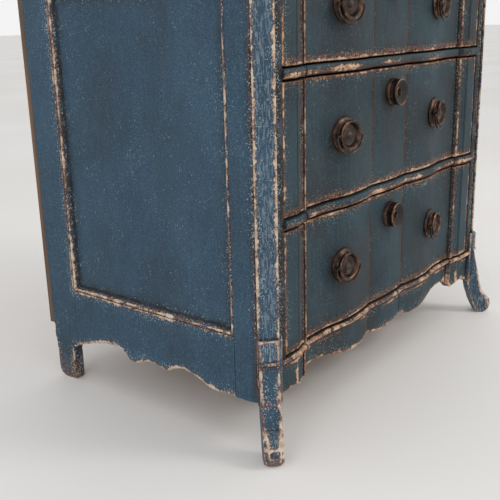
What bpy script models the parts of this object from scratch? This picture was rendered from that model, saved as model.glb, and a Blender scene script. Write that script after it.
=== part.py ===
"""Serpentine chest of three drawers, with canted corner posts, sabre front legs and cast pulls.

Metres, +Z up, front facing -Y, origin on the floor at the centre of the bounding box.
"""
import math

import bmesh
import bpy
from mathutils import Matrix, Vector

# Overall sizes of the case
CASE_WIDTH = 0.840
CASE_DEPTH = 0.577
CASE_TOP = 0.8395            # underside of the top board
TOP_THICKNESS = 0.0255
TOP_OVERHANG = 0.018
GAP = 0.0003                 # between pieces that touch

# Corner posts and side frames
CANT = 0.0245                # how far the canted corner cuts back, each way
POST_STRIP = 0.0255          # front-facing strip between cant and drawer
STRIP_RECESS = 0.005         # the strip lies back behind a narrow edge beside the cant
STRIP_EDGE = 0.0025
BASE_STRIP = 0.010           # base moulding and apron run out to this far from the cant
POST_DEPTH = 0.045
FRAME_THICKNESS = 0.024
FRONT_STILE = 0.052
REAR_STILE = 0.0725
COVE_WIDTH = 0.019
COVE_DEPTH = 0.004
PILASTER_EDGE = 0.002
SIDE_RAIL_TOP = 0.200        # upper edge of the scalloped side rail
SIDE_TOP_RAIL = 0.0695
PANEL_RECESS = 0.010
PANEL_THICKNESS = 0.008
PANEL_BEAD = 0.009
BACK_THICKNESS = 0.012
BACK_LOW = 0.116
# Hollow beside the pilaster, as shares of the cove's width and depth
COVE_SHAPE = ((0.3, 1.0), (0.5, 0.85), (0.72, 0.5), (0.88, 0.15))
# Section of the panel and its moulding: (share of the bead's width, depth below the frame's face)
PANEL_SECTION = (
    (0.0, PANEL_RECESS + PANEL_THICKNESS),
    (0.0, 0.001),
    (0.2, 0.0),
    (0.55, 0.0005),
    (0.8, 0.003),
    (1.0, PANEL_RECESS - 0.001),
    (1.25, PANEL_RECESS + 0.0008),
    (1.7, PANEL_RECESS),
)
# Moulded edge of the top: (height, set back from its furthest reach)
TOP_SECTION = (
    (0.0003, 0.010),
    (0.0043, 0.009),
    (0.0048, 0.005),
    (0.0083, 0.001),
    (0.0133, 0.0),
    (0.0195, 0.001),
    (0.0235, 0.004),
    (TOP_THICKNESS, 0.008),
)
TOP_FOLLOW = 0.8             # how much of the serpentine the top's edge follows
TOP_CORNER = 0.4             # share of the overhang left where the top's side starts

# Serpentine front, measured across from the centre
END_BAND = 0.041             # flat band at each end of a drawer front
BEAD_FROM_END = 0.071        # centre line of the vertical bead
BEAD_WIDTH = 0.007
LOBE_PEAK = 0.150            # where the side lobes stand forward most
VALLEY = 0.240               # where they have fallen back, on the way to the bead
CREASE = 0.0655              # where side and centre lobes meet
HOLLOW_DEPTH = 0.0065
VALLEY_DEPTH = 0.0135
LOBE_DEPTH = 0.0040          # crowns of the side lobes behind the end bands
CENTRE_DEPTH = 0.0080        # crown of the centre lobe
CREASE_DEPTH = 0.0130
BEAD_HEIGHT = 0.0055

# Levels of the front
BASE_TOP = 0.162             # top of the base moulding
LOWER_RAIL_LOW = 0.384
UPPER_RAIL_LOW = 0.6235
RAIL_HEIGHT = 0.017
RAIL_NOSE = 0.007            # how far the rails stand before the drawers
RAIL_DEPTH = 0.060
BASE_HEIGHT = 0.0117
ROLL_HEIGHT = 0.009
ROLL_NOSE = 0.007
APRON_RECESS = 0.003
APRON_THICKNESS = 0.028
ARRIS = 0.0025               # worn rounding of the boards' edges

# Drawers
DRAWER_RECESS = 0.006        # drawer fronts behind the posts' front strip
DRAWER_GAP_HIGH = 0.003
DRAWER_GAP_SIDE = 0.0012
FRONT_THICKNESS = 0.032
BOARD = 0.012                # drawer sides and back
BOTTOM_BOARD = 0.006
SIDE_DROP = 0.012            # drawer sides below the front's upper edge
SIDE_INSET = 0.012           # drawer sides in from the ends of the opening
GUIDE_CLEARANCE = 0.001
DRAWER_BACK_CLEARANCE = 0.003
CARCASE_BOARD = 0.018
RUNNER_WIDTH = 0.056
GUIDE_HEIGHT = 0.018

# Lower edges of apron and side rail: (place across, height, shape of the turn)
APRON_EDGE = (
    (0.000, 0.0920, "round"),
    (0.0695, 0.1005, "sharp"),
    (0.115, 0.0910, "round"),
    (0.270, 0.1115, "round"),
    (0.3145, 0.0890, "sharp"),
    (0.345, 0.0980, "round"),
    (0.390, 0.0870, "sharp"),
)
SIDE_EDGE = (
    (-0.2269, 0.0874, "round"),
    (-0.182, 0.0892, "round"),
    (-0.149, 0.0858, "round"),
    (-0.074, 0.1070, "round"),
    (-0.0291, 0.0914, "sharp"),
    (0.012, 0.0980, "round"),
    (0.0517, 0.0845, "sharp"),
    (0.0692, 0.0866, "sharp"),
    (0.104, 0.1081, "round"),
    (0.240, 0.0740, "sharp"),
)

# Front legs, set at 45 degrees: reach outwards from the plane of the cant
LEG_WIDTH = 0.035
LEG_JOINT = 0.207            # top of the leg's block
LEG_PROUD = 0.009
LEG_CHAMFER = 0.003
LEG_FREE = 0.087             # below this the leg stands clear of the case
TOE_REACH = 0.0585
TOE_CHAMFER = 0.008
TOE_HEIGHT = 0.018
ANKLE_THICKNESS = 0.032
LEG_ROLL_LOW = 0.1625
LEG_ROLL_HEIGHT = 0.0072
LEG_ROLL_PROUD = 0.0025
# Leg under its block: (height, reach)
LEG_UPPER = (
    (LEG_ROLL_LOW + LEG_ROLL_HEIGHT, LEG_PROUD),
    (LEG_ROLL_LOW + LEG_ROLL_HEIGHT - 0.001, LEG_PROUD + LEG_ROLL_PROUD),
    (LEG_ROLL_LOW + 0.001, LEG_PROUD + LEG_ROLL_PROUD),
    (LEG_ROLL_LOW, LEG_PROUD - 0.002),
    (LEG_ROLL_LOW - 0.004, LEG_PROUD - 0.001),
    (0.132, 0.0135),
    (0.108, 0.0195),
    (LEG_FREE, 0.0245),
)
# Free leg: (height, reach of its front, reach of its back, chamfer)
ANKLE = TOE_REACH - ANKLE_THICKNESS
LEG_LOWER = (
    (LEG_FREE - 0.003, 0.0255, -0.0065, LEG_CHAMFER),
    (0.070, ANKLE + 0.0025, -0.004, LEG_CHAMFER),
    (0.058, ANKLE + 0.007, -0.0015, 0.004),
    (0.046, TOE_REACH - 0.0145, 0.003, 0.005),
    (0.032, TOE_REACH - 0.003, 0.0075, 0.007),
    (TOE_HEIGHT, TOE_REACH, 0.0135, TOE_CHAMFER),
    (0.006, TOE_REACH - 0.004, 0.020, TOE_CHAMFER),
    (0.0, TOE_REACH - 0.010, 0.024, TOE_CHAMFER),
)

# Rear feet
FOOT_TOP = 0.074
FOOT_INSET = 0.018           # front edge of the foot behind the stile's edge
FOOT_HEEL = 0.020            # rounding of the heel at the floor
HEEL_SETBACK = 0.003
# Foot above the floor: (height, front edge set back, share of the heel's rounding)
FOOT_SECTION = (
    (0.0, 0.002, 1.0),
    (0.005, 0.0, 0.4),
    (0.014, 0.0, 0.1),
    (FOOT_TOP - 0.008, 0.0, 0.0),
    (FOOT_TOP, -0.003, 0.0),
)
SHOULDER_EASE = 0.004        # how the stile widens above the foot

# Pulls
PULL_PLACE = 0.178           # centre of a pull, on the outer slope of its lobe
PULL_TURN = math.radians(8.5)   # outwards, to lie flat on that slope
PULL_RADIUS = 0.031
RING_RADIUS = 0.0270
PULL_DEPTH = 0.0185
PLATE_RIM = 0.0025
DISH_RADIUS = 0.0210
DISH_DEPTH = 0.009
LUG_REACH = 0.0260
LUG_RADIUS = 0.0048
PIVOT_DEPTH = 0.0145
PIN_CLEARANCE = 0.0004
BAIL_RADIUS = 0.0020
BAIL_HALF = 0.0338
BAIL_DROP = 0.0325
PIN_LENGTH = 0.009
PULL_ABOVE_CENTRE = 0.004
RING_THICKNESS = 0.003
# Turned section of a pull plate: (radius, height above the drawer)
PLATE_SECTION = (
    (0.0, PULL_DEPTH - 0.003),
    (0.0055, PULL_DEPTH - 0.004),
    (0.009, PULL_DEPTH - DISH_DEPTH),
    (DISH_RADIUS - 0.003, PULL_DEPTH - DISH_DEPTH + 0.002),
    (DISH_RADIUS, PULL_DEPTH - 0.002),
    (DISH_RADIUS + 0.002, PULL_DEPTH),
    (RING_RADIUS, PULL_DEPTH - 0.001),
    (RING_RADIUS, PULL_DEPTH - RING_THICKNESS),
    (RING_RADIUS - 0.003, PULL_DEPTH - RING_THICKNESS - 0.002),
    (RING_RADIUS - 0.002, PLATE_RIM + 0.003),
    (PULL_RADIUS - 0.001, PLATE_RIM),
    (PULL_RADIUS, 0.0),
    (0.0, 0.0),
)
BAIL_CORNER = 0.003          # rounding where the bail turns into its pins

# Escutcheons and locks
ESCUTCHEON_RADIUS = 0.026
ESCUTCHEON_DEPTH = 0.020
ESCUTCHEON_BELOW_EDGE = 0.046
CONE_RADIUS = 0.0225
CONE_DEPTH = 0.009
CONE_FLOOR = 0.007           # radius of the flat round the keyhole
# Turned section of an escutcheon: (radius, height above the drawer)
ESCUTCHEON_SECTION = (
    (0.0, ESCUTCHEON_DEPTH - CONE_DEPTH),
    (CONE_FLOOR, ESCUTCHEON_DEPTH - CONE_DEPTH),
    (CONE_RADIUS, ESCUTCHEON_DEPTH - 0.001),
    (CONE_RADIUS + 0.0015, ESCUTCHEON_DEPTH),
    (CONE_RADIUS + 0.003, ESCUTCHEON_DEPTH - 0.001),
    (CONE_RADIUS + 0.003, ESCUTCHEON_DEPTH - 0.004),
    (CONE_RADIUS + 0.0005, ESCUTCHEON_DEPTH - 0.006),
    (CONE_RADIUS + 0.001, 0.0045),
    (ESCUTCHEON_RADIUS, 0.002),
    (ESCUTCHEON_RADIUS, 0.0),
    (0.0, 0.0),
)
KEY_ROUND = 0.0032
KEY_SLOT = 0.0032
KEY_LENGTH = 0.012
LOCK_WIDTH = 0.070
LOCK_THICKNESS = 0.014
LOCK_BELOW = 0.024
BOLT_WIDTH = 0.022
BOLT_THICKNESS = 0.006
BOLT_TRAVEL = 0.011
BOLT_SUNK = 0.001
MORTISE_CLEARANCE = 0.0015

# Places that follow from the sizes above
HALF_WIDTH = CASE_WIDTH / 2
FOOT_SPLAY = (TOE_REACH - TOE_CHAMFER + LEG_WIDTH / 2) / math.sqrt(2) - CANT / 2
Y_BACK = (CASE_DEPTH + FOOT_SPLAY) / 2
Y_FRONT = Y_BACK - CASE_DEPTH
Y_CANT = Y_FRONT + CANT
Y_FACE = Y_FRONT + DRAWER_RECESS
Y_FRAME_BACK = Y_BACK - BACK_THICKNESS - GAP
Y_RAIL_BACK = Y_FACE + RAIL_DEPTH
OPENING_HALF = HALF_WIDTH - CANT - POST_STRIP
BASE_HALF = HALF_WIDTH - CANT - BASE_STRIP
FRAME_INNER = HALF_WIDTH - FRAME_THICKNESS
Y_STILE = Y_CANT + FRONT_STILE
Y_REAR_STILE = Y_FRAME_BACK - REAR_STILE
BEAD_CENTRE = OPENING_HALF - BEAD_FROM_END
BAND_EDGE = OPENING_HALF - END_BAND
BEAD_RADIUS = BEAD_WIDTH / 2
LEG_SEAT = Y_CANT + 0.2 * COVE_WIDTH
Y_DRAWER_END = Y_FRAME_BACK - DRAWER_BACK_CLEARANCE

PAINT = (0.047, 0.084, 0.120)
FRONT_PAINT = (0.038, 0.070, 0.091)
BARE_WOOD = (0.305, 0.156, 0.070)
BRONZE = (0.061, 0.042, 0.034)
STEEL = (0.25, 0.24, 0.22)


def clear_scene():
    for old in list(bpy.data.objects):
        bpy.data.objects.remove(old, do_unlink=True)


def new_collection(name):
    made = bpy.data.collections.new(name)
    bpy.context.scene.collection.children.link(made)
    return made


clear_scene()
PARTS = new_collection("serpentine_chest")
CUTTERS = new_collection("cutters")


# Basic makers

def material(name, colour, roughness, metallic=0.0):
    made = bpy.data.materials.new(name)
    made.use_nodes = True
    shader = made.node_tree.nodes["Principled BSDF"]
    shader.inputs["Base Color"].default_value = (*colour, 1.0)
    shader.inputs["Roughness"].default_value = roughness
    shader.inputs["Metallic"].default_value = metallic
    return made


def add_object(name, data, look=None, collection=PARTS):
    """Link a new object; look is (colour, roughness, metallic)."""
    made = bpy.data.objects.new(name, data)
    collection.objects.link(made)
    if look and not data.materials:
        data.materials.append(material(name, *look))
    return made


def mesh_from(name, builder):
    data = bpy.data.meshes.new(name)
    bmesh.ops.recalc_face_normals(builder, faces=builder.faces)
    builder.to_mesh(data)
    builder.free()
    return data


def loft(name, rings, look):
    """Closed solid through a row of rings that have the same number of points."""
    builder = bmesh.new()
    rows = [[builder.verts.new(point) for point in ring] for ring in rings]
    count = len(rows[0])
    for near, far in zip(rows, rows[1:]):
        for i in range(count):
            j = (i + 1) % count
            builder.faces.new((near[i], near[j], far[j], far[i]))
    builder.faces.new(rows[0])
    builder.faces.new(rows[-1])
    return add_object(name, mesh_from(name, builder), look)


def box(name, low, high, look=None, collection=PARTS):
    """Box between two corners, its origin at its centre."""
    low, high = Vector(low), Vector(high)
    builder = bmesh.new()
    bmesh.ops.create_cube(builder, size=1.0)
    bmesh.ops.scale(builder, vec=high - low, verts=builder.verts)
    made = add_object(name, mesh_from(name, builder), look, collection)
    made.location = (low + high) / 2
    return made


def outline_curve(name, outline, thickness, look=None, collection=PARTS):
    """Flat outline in its own XY plane, extruded half its thickness each way."""
    data = bpy.data.curves.new(name, "CURVE")
    data.dimensions = "2D"
    data.fill_mode = "BOTH"
    data.extrude = thickness / 2
    spline = data.splines.new("POLY")
    spline.points.add(len(outline) - 1)
    for point, (across, up) in zip(spline.points, outline):
        point.co = (across, up, 0.0, 1.0)
    spline.use_cyclic_u = True
    return add_object(name, data, look, collection)


def as_mesh(source):
    """Replace a curve or a modified object with its welded mesh."""
    bpy.context.view_layer.update()
    shown = source.evaluated_get(bpy.context.evaluated_depsgraph_get())
    data = bpy.data.meshes.new_from_object(shown)
    builder = bmesh.new()
    builder.from_mesh(data)
    bmesh.ops.remove_doubles(builder, verts=builder.verts, dist=0.00001)
    bmesh.ops.recalc_face_normals(builder, faces=builder.faces)
    builder.to_mesh(data)
    builder.free()
    name, place = source.name, source.matrix_world.copy()
    collection = source.users_collection[0]
    bpy.data.objects.remove(source, do_unlink=True)
    made = bpy.data.objects.new(name, data)
    made.matrix_world = place
    collection.objects.link(made)
    return made


def hide_cutter(cutter):
    cutter.hide_render = True
    cutter.display_type = "WIRE"


def apply_boolean(target, other, operation):
    change = target.modifiers.new(operation.lower(), "BOOLEAN")
    change.operation = operation
    change.object = other
    change.solver = "EXACT"
    hide_cutter(other)


def smooth(made, angle=35):
    made.data.shade_smooth()
    made.data.set_sharp_from_angle(angle=math.radians(angle))


def hold(child, parent):
    """Parent a piece without moving it."""
    child.parent = parent
    child.matrix_parent_inverse = Matrix.Translation(parent.location).inverted()


# The serpentine front

def front_depth(across):
    """How far the front lies behind the plane of its end bands."""
    place = abs(across)
    bead_in = BEAD_CENTRE - BEAD_RADIUS
    bead_out = BEAD_CENTRE + BEAD_RADIUS
    if place >= BAND_EDGE:
        return 0.0
    if place >= bead_out:
        into = (BAND_EDGE - place) / (BAND_EDGE - bead_out)
        return HOLLOW_DEPTH * math.sin(into * math.pi / 2)
    if place >= bead_in:
        into = (bead_out - place) / BEAD_WIDTH
        ground = HOLLOW_DEPTH + (VALLEY_DEPTH - HOLLOW_DEPTH) * into
        off_centre = (place - BEAD_CENTRE) / BEAD_RADIUS
        return ground - BEAD_HEIGHT * math.sqrt(max(1 - off_centre ** 2, 0.0))
    if place >= VALLEY:
        return VALLEY_DEPTH
    if place >= LOBE_PEAK:
        into = (place - LOBE_PEAK) / (VALLEY - LOBE_PEAK)
        return LOBE_DEPTH + (VALLEY_DEPTH - LOBE_DEPTH) * (1 - math.cos(math.pi * into)) / 2
    if place >= CREASE:
        into = (LOBE_PEAK - place) / (LOBE_PEAK - CREASE)
        return LOBE_DEPTH + (CREASE_DEPTH - LOBE_DEPTH) * into ** 2
    return CENTRE_DEPTH + (CREASE_DEPTH - CENTRE_DEPTH) * (place / CREASE) ** 2


def spread(start, stop, count):
    """Even places from start up to, but not including, stop."""
    return [start + (stop - start) * i / count for i in range(count)]


def front_places(end, round_end=0.0):
    """Places across the front where a section stands, from one end to the other."""
    bead = [BEAD_CENTRE - BEAD_RADIUS * math.cos(math.pi * i / 4) for i in range(5)]
    half = spread(0, CREASE, 3) + spread(CREASE, LOBE_PEAK, 5)
    half += spread(LOBE_PEAK, VALLEY, 6) + spread(VALLEY, bead[0], 2) + bead
    half += spread(bead[-1], BAND_EDGE, 3)[1:] + [BAND_EDGE]
    if round_end:
        half.append(end - round_end)
    half.append(end)
    return [-place for place in reversed(half[1:])] + half


def front_loft(name, places, section, look):
    """Solid across the front; section(place) gives its (y, z) points there."""
    return loft(name, [[(place, y, z) for y, z in section(place)] for place in places], look)


def wavy_edge(turns, place):
    """Height of a scalloped edge, swinging from turn to turn."""
    place = min(max(place, turns[0][0]), turns[-1][0])
    for (x0, z0, kind0), (x1, z1, kind1) in zip(turns, turns[1:]):
        if place <= x1:
            into = (place - x0) / (x1 - x0)
            if kind0 == kind1 == "round":
                into = (1 - math.cos(math.pi * into)) / 2
            elif kind0 == "round":
                into = 1 - math.cos(math.pi / 2 * into)
            elif kind1 == "round":
                into = math.sin(math.pi / 2 * into)
            return z0 + (z1 - z0) * into
    return turns[-1][1]


def wavy_places(turns, start, stop, steps=4):
    """Places along a scalloped edge between start and stop, ends included."""
    found = {start, stop}
    for (x0, _, _), (x1, _, _) in zip(turns, turns[1:]):
        found.update(p for p in spread(x0, x1, steps) if start < p < stop)
    return sorted(found)


# Case

def drawer_rail(name, low, look):
    """Rail with a round nose that follows the serpentine."""
    def section(place):
        face = Y_FACE + front_depth(place)
        points = [(Y_RAIL_BACK, low)]
        for i in range(7):
            turn = math.pi * (i / 6 - 0.5)
            back = RAIL_NOSE * 1.6 * (1 - math.cos(turn))
            points.append((face - RAIL_NOSE + back, low + RAIL_HEIGHT * (1 + math.sin(turn)) / 2))
        return points + [(Y_RAIL_BACK, low + RAIL_HEIGHT)]
    rail = front_loft(name, front_places(OPENING_HALF - GAP), section, look)
    smooth(rail, 40)
    return rail


def base_moulding(look):
    """Roll over a fillet, under the lowest drawer."""
    low = BASE_TOP - BASE_HEIGHT
    roll_low = BASE_TOP - ROLL_HEIGHT

    def section(place):
        face = Y_FACE + front_depth(place)
        points = [(Y_RAIL_BACK, low), (face + ARRIS, low), (face + ARRIS, roll_low)]
        for i in range(5):
            turn = math.pi * (i / 4 - 0.5)
            height = roll_low + ROLL_HEIGHT * (1 + math.sin(turn)) / 2
            points.append((face - ROLL_NOSE * math.cos(turn), height))
        return points + [(Y_RAIL_BACK, BASE_TOP)]
    base = front_loft("base_moulding", front_places(BASE_HALF - GAP), section, look)
    smooth(base, 40)


def front_apron(look):
    """Scalloped board under the base moulding."""
    top = BASE_TOP - BASE_HEIGHT - GAP
    end = BASE_HALF - GAP
    mirrored = tuple((-x, z, kind) for x, z, kind in reversed(APRON_EDGE[1:])) + APRON_EDGE
    places = sorted(set(front_places(end)) | set(wavy_places(mirrored, -end, end, 3)))

    def section(place):
        face = Y_FACE + APRON_RECESS + front_depth(place)
        back = Y_FACE + APRON_THICKNESS
        low = wavy_edge(mirrored, place)
        return [(back, low), (face + ARRIS, low), (face, low + ARRIS), (face, top), (back, top)]
    front_loft("front_apron", places, section, look)


def top_outline(inset):
    """Plan of the top board, its edge drawn in by inset."""
    end = HALF_WIDTH - CANT
    reach = TOP_OVERHANG - inset
    front = [(x, Y_FRONT - reach + TOP_FOLLOW * smooth_depth(x)) for x in top_places(end)]
    side = HALF_WIDTH + reach
    corner = Y_CANT - reach * TOP_CORNER
    return front + [(side, corner), (side, Y_BACK - GAP), (-side, Y_BACK - GAP), (-side, corner)]


def smooth_depth(across):
    """The serpentine without its bead, for the edge of the top."""
    place = abs(across)
    bead_in = BEAD_CENTRE - BEAD_RADIUS
    if place < bead_in:
        return front_depth(across)
    into = min((place - bead_in) / (OPENING_HALF - bead_in), 1.0)
    return VALLEY_DEPTH * (1 + math.cos(math.pi * into)) / 2


def top_places(end):
    half = spread(0, CREASE, 3) + spread(CREASE, LOBE_PEAK, 5)
    half += spread(LOBE_PEAK, VALLEY, 5) + spread(VALLEY, BEAD_CENTRE, 2)
    half += spread(BEAD_CENTRE, OPENING_HALF, 4)
    half += [OPENING_HALF, end]
    return [-place for place in reversed(half[1:])] + half


def top_board(look):
    """Moulded top: thumbnail over a fillet, swept round the plan."""
    rings = [[(x, y, CASE_TOP + height) for x, y in top_outline(inset)] for height, inset in TOP_SECTION]
    smooth(loft("top_board", rings, look), 30)


def corner_post(side, name, look):
    """Canted post and side stile in one, with the cove behind the pilaster's edge."""
    post_back = Y_FRONT + POST_DEPTH
    outline = [
        (OPENING_HALF, Y_FRONT + STRIP_RECESS), (HALF_WIDTH - CANT - STRIP_EDGE, Y_FRONT + STRIP_RECESS),
        (HALF_WIDTH - CANT - STRIP_EDGE, Y_FRONT), (HALF_WIDTH - CANT, Y_FRONT),
        (HALF_WIDTH, Y_CANT), (HALF_WIDTH, Y_CANT + PILASTER_EDGE),
        (HALF_WIDTH - COVE_DEPTH, Y_CANT + PILASTER_EDGE * 1.5),
    ]
    outline += [(HALF_WIDTH - COVE_DEPTH * deep, Y_CANT + COVE_WIDTH * along) for along, deep in COVE_SHAPE]
    outline += [
        (HALF_WIDTH, Y_CANT + COVE_WIDTH), (HALF_WIDTH, Y_STILE - GAP),
        (FRAME_INNER, Y_STILE - GAP), (FRAME_INNER, post_back), (OPENING_HALF, post_back),
    ]
    low = wavy_edge(SIDE_EDGE, Y_STILE)
    curve = outline_curve(name, [(side * x, y) for x, y in outline], CASE_TOP - low)
    curve.location = (0, 0, (CASE_TOP + low) / 2)
    post = as_mesh(curve)
    post.data.materials.append(material(name, *look))
    reach = FRAME_THICKNESS
    seat_ends = sorted((side * BASE_HALF, side * (HALF_WIDTH + reach)))
    seat = box(name + "_seat", (seat_ends[0], Y_FRONT - reach, low - reach),
               (seat_ends[1], LEG_SEAT, LEG_JOINT), None, CUTTERS)
    apply_boolean(post, seat, "DIFFERENCE")
    base_ends = sorted((side * (OPENING_HALF - reach), side * BASE_HALF))
    base_room = box(name + "_base_room", (base_ends[0], Y_FRONT - reach, low - reach),
                    (base_ends[1], post_back + reach, BASE_TOP), None, CUTTERS)
    apply_boolean(post, base_room, "DIFFERENCE")


def rear_post(side, name, look):
    """Rear stile that runs down into the rear foot."""
    front, back = Y_REAR_STILE, Y_FRAME_BACK
    foot = front + FOOT_INSET
    heel = back - HEEL_SETBACK
    shoulder = wavy_edge(SIDE_EDGE, front)
    levels = [(z, foot + set_back, heel - part * FOOT_HEEL) for z, set_back, part in FOOT_SECTION]
    levels += [
        (shoulder - SHOULDER_EASE / 2, front + SHOULDER_EASE, back - HEEL_SETBACK / 3),
        (shoulder + SHOULDER_EASE, front, back), (CASE_TOP, front, back),
    ]
    rings = []
    for z, near, far in levels:
        rings.append([(side * FRAME_INNER, near, z), (side * HALF_WIDTH, near, z),
                      (side * HALF_WIDTH, far, z), (side * FRAME_INNER, far, z)])
    loft(name, rings, look)


def side_bottom_rail(side, name, look):
    """Lower rail of the side frame, scalloped along its lower edge."""
    inner, outer = side * FRAME_INNER, side * HALF_WIDTH
    rings = []
    for y in wavy_places(SIDE_EDGE, Y_STILE, Y_REAR_STILE - GAP):
        low = wavy_edge(SIDE_EDGE, y)
        rings.append([(inner, y, low), (outer - side * ARRIS, y, low), (outer, y, low + ARRIS),
                      (outer, y, SIDE_RAIL_TOP), (inner, y, SIDE_RAIL_TOP)])
    loft(name, rings, look)


def side_panel(side, name, look):
    """Recessed panel with the moulding that runs round its field."""
    rings = []
    for part, depth in PANEL_SECTION:
        x = side * (HALF_WIDTH - depth)
        inset = part * PANEL_BEAD
        near, far = Y_STILE + inset, Y_REAR_STILE - GAP - inset
        low, high = SIDE_RAIL_TOP + GAP + inset, CASE_TOP - SIDE_TOP_RAIL - GAP - inset
        rings.append([(x, near, low), (x, far, low), (x, far, high), (x, near, high)])
    loft(name, rings, look)


def leg_point(side, out, along, z):
    """Point of a front leg, from its reach along the diagonal and across it."""
    x = HALF_WIDTH - CANT / 2 + (out + along) / math.sqrt(2)
    y = Y_FRONT + CANT / 2 + (along - out) / math.sqrt(2)
    return (side * x, y, z)


def leg_front(side, out, chamfer, z):
    """The four points of the leg's front, from the drawer side to the case side."""
    wide = LEG_WIDTH / 2
    return [leg_point(side, out - chamfer, -wide, z), leg_point(side, out, chamfer - wide, z),
            leg_point(side, out, wide - chamfer, z), leg_point(side, out - chamfer, wide, z)]


def front_leg(side, name, look):
    """Sabre leg under the canted post: block, roll, then the free leg with its toe."""
    seat = LEG_SEAT - GAP
    rings = []
    for z, out in ((LEG_JOINT - GAP, LEG_PROUD),) + LEG_UPPER:
        corner = [(HALF_WIDTH, Y_CANT), (HALF_WIDTH, seat), (BASE_HALF, seat),
                  (BASE_HALF, Y_FRONT), (HALF_WIDTH - CANT, Y_FRONT)]
        rings.append(leg_front(side, out, LEG_CHAMFER, z) + [(side * x, y, z) for x, y in corner])
    wide = LEG_WIDTH / 2
    for z, out, back, chamfer in LEG_LOWER:
        middle = (out + back) / 2
        inner = [(middle, wide), (back, wide), (back, 0.0), (back, -wide), (middle, -wide)]
        rings.append(leg_front(side, out, chamfer, z)
                     + [leg_point(side, reach, along, z) for reach, along in inner])
    smooth(loft(name, rings, look), 40)


def along_depth(name, outline, near, far, look):
    """Extrude a section drawn in X and Z along the depth of the case."""
    curve = outline_curve(name, outline, far - near, look)
    curve.matrix_world = Matrix.Translation((0, (near + far) / 2, 0)) @ Matrix.Rotation(math.pi / 2, 4, "X")


def bottom_board(look):
    """Board under the lowest drawer, with a guide at each side."""
    outer = FRAME_INNER - GAP
    inner = OPENING_HALF - SIDE_INSET + GUIDE_CLEARANCE
    low, high, guide = BASE_TOP - CARCASE_BOARD, BASE_TOP, BASE_TOP + GUIDE_HEIGHT
    half = [(outer, low), (outer, guide), (inner, guide), (inner, high)]
    outline = half + [(-x, z) for x, z in reversed(half)]
    along_depth("bottom_board", outline, Y_RAIL_BACK + GAP, Y_FRAME_BACK, look)


def runner(side, name, level, look):
    """Runner and guide for one side of an upper drawer; level is its upper face."""
    outer = FRAME_INNER - GAP
    guide = OPENING_HALF - SIDE_INSET + GUIDE_CLEARANCE
    outline = [
        (outer, level - CARCASE_BOARD), (outer, level + GUIDE_HEIGHT), (guide, level + GUIDE_HEIGHT),
        (guide, level), (outer - RUNNER_WIDTH, level), (outer - RUNNER_WIDTH, level - CARCASE_BOARD),
    ]
    along_depth(name, [(side * x, z) for x, z in outline], Y_RAIL_BACK + GAP, Y_FRAME_BACK, look)


def build_case():
    paint = (PAINT, 0.55)
    front_paint = (FRONT_PAINT, 0.5)
    bare = (BARE_WOOD, 0.7)
    top_board(paint)
    for side, word in ((-1, "left"), (1, "right")):
        corner_post(side, "corner_post_" + word, paint)
        rear_post(side, "rear_post_" + word, paint)
        side_bottom_rail(side, "side_bottom_rail_" + word, paint)
        side_panel(side, "side_panel_" + word, paint)
        front_leg(side, "front_leg_" + word, paint)
        ends = sorted((side * FRAME_INNER, side * HALF_WIDTH))
        box("side_top_rail_" + word, (ends[0], Y_STILE, CASE_TOP - SIDE_TOP_RAIL),
            (ends[1], Y_REAR_STILE - GAP, CASE_TOP), paint)
        runner(side, "runner_lower_" + word, LOWER_RAIL_LOW + RAIL_HEIGHT, bare)
        runner(side, "runner_upper_" + word, UPPER_RAIL_LOW + RAIL_HEIGHT, bare)
    base_moulding(front_paint)
    front_apron(front_paint)
    bottom_board(bare)
    box("back_panel", (-HALF_WIDTH, Y_BACK - BACK_THICKNESS, BACK_LOW), (HALF_WIDTH, Y_BACK, CASE_TOP), bare)
    return {
        "lower": drawer_rail("drawer_rail_lower", LOWER_RAIL_LOW, front_paint),
        "middle": drawer_rail("drawer_rail_upper", UPPER_RAIL_LOW, front_paint),
        "upper": drawer_rail("top_rail", CASE_TOP - RAIL_HEIGHT, front_paint),
    }


# Drawers

def turned(name, profile, steps, look):
    """Screw a (radius, height) profile round Z, then face it to the front."""
    builder = bmesh.new()
    points = [builder.verts.new((radius, 0, height)) for radius, height in profile]
    for start, end in zip(points, points[1:]):
        builder.edges.new((start, end))
    data = bpy.data.meshes.new(name)
    builder.to_mesh(data)
    builder.free()
    made = add_object(name, data, look)
    spin = made.modifiers.new("spin", "SCREW")
    spin.steps = steps
    spin.render_steps = steps
    spin.use_merge_vertices = True
    spin.merge_threshold = 0.00001
    made.matrix_world = Matrix.Rotation(math.pi / 2, 4, "X")
    turned_mesh = as_mesh(made)
    turned_mesh.data.transform(turned_mesh.matrix_world)
    turned_mesh.matrix_world = Matrix.Identity(4)
    return turned_mesh


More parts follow.
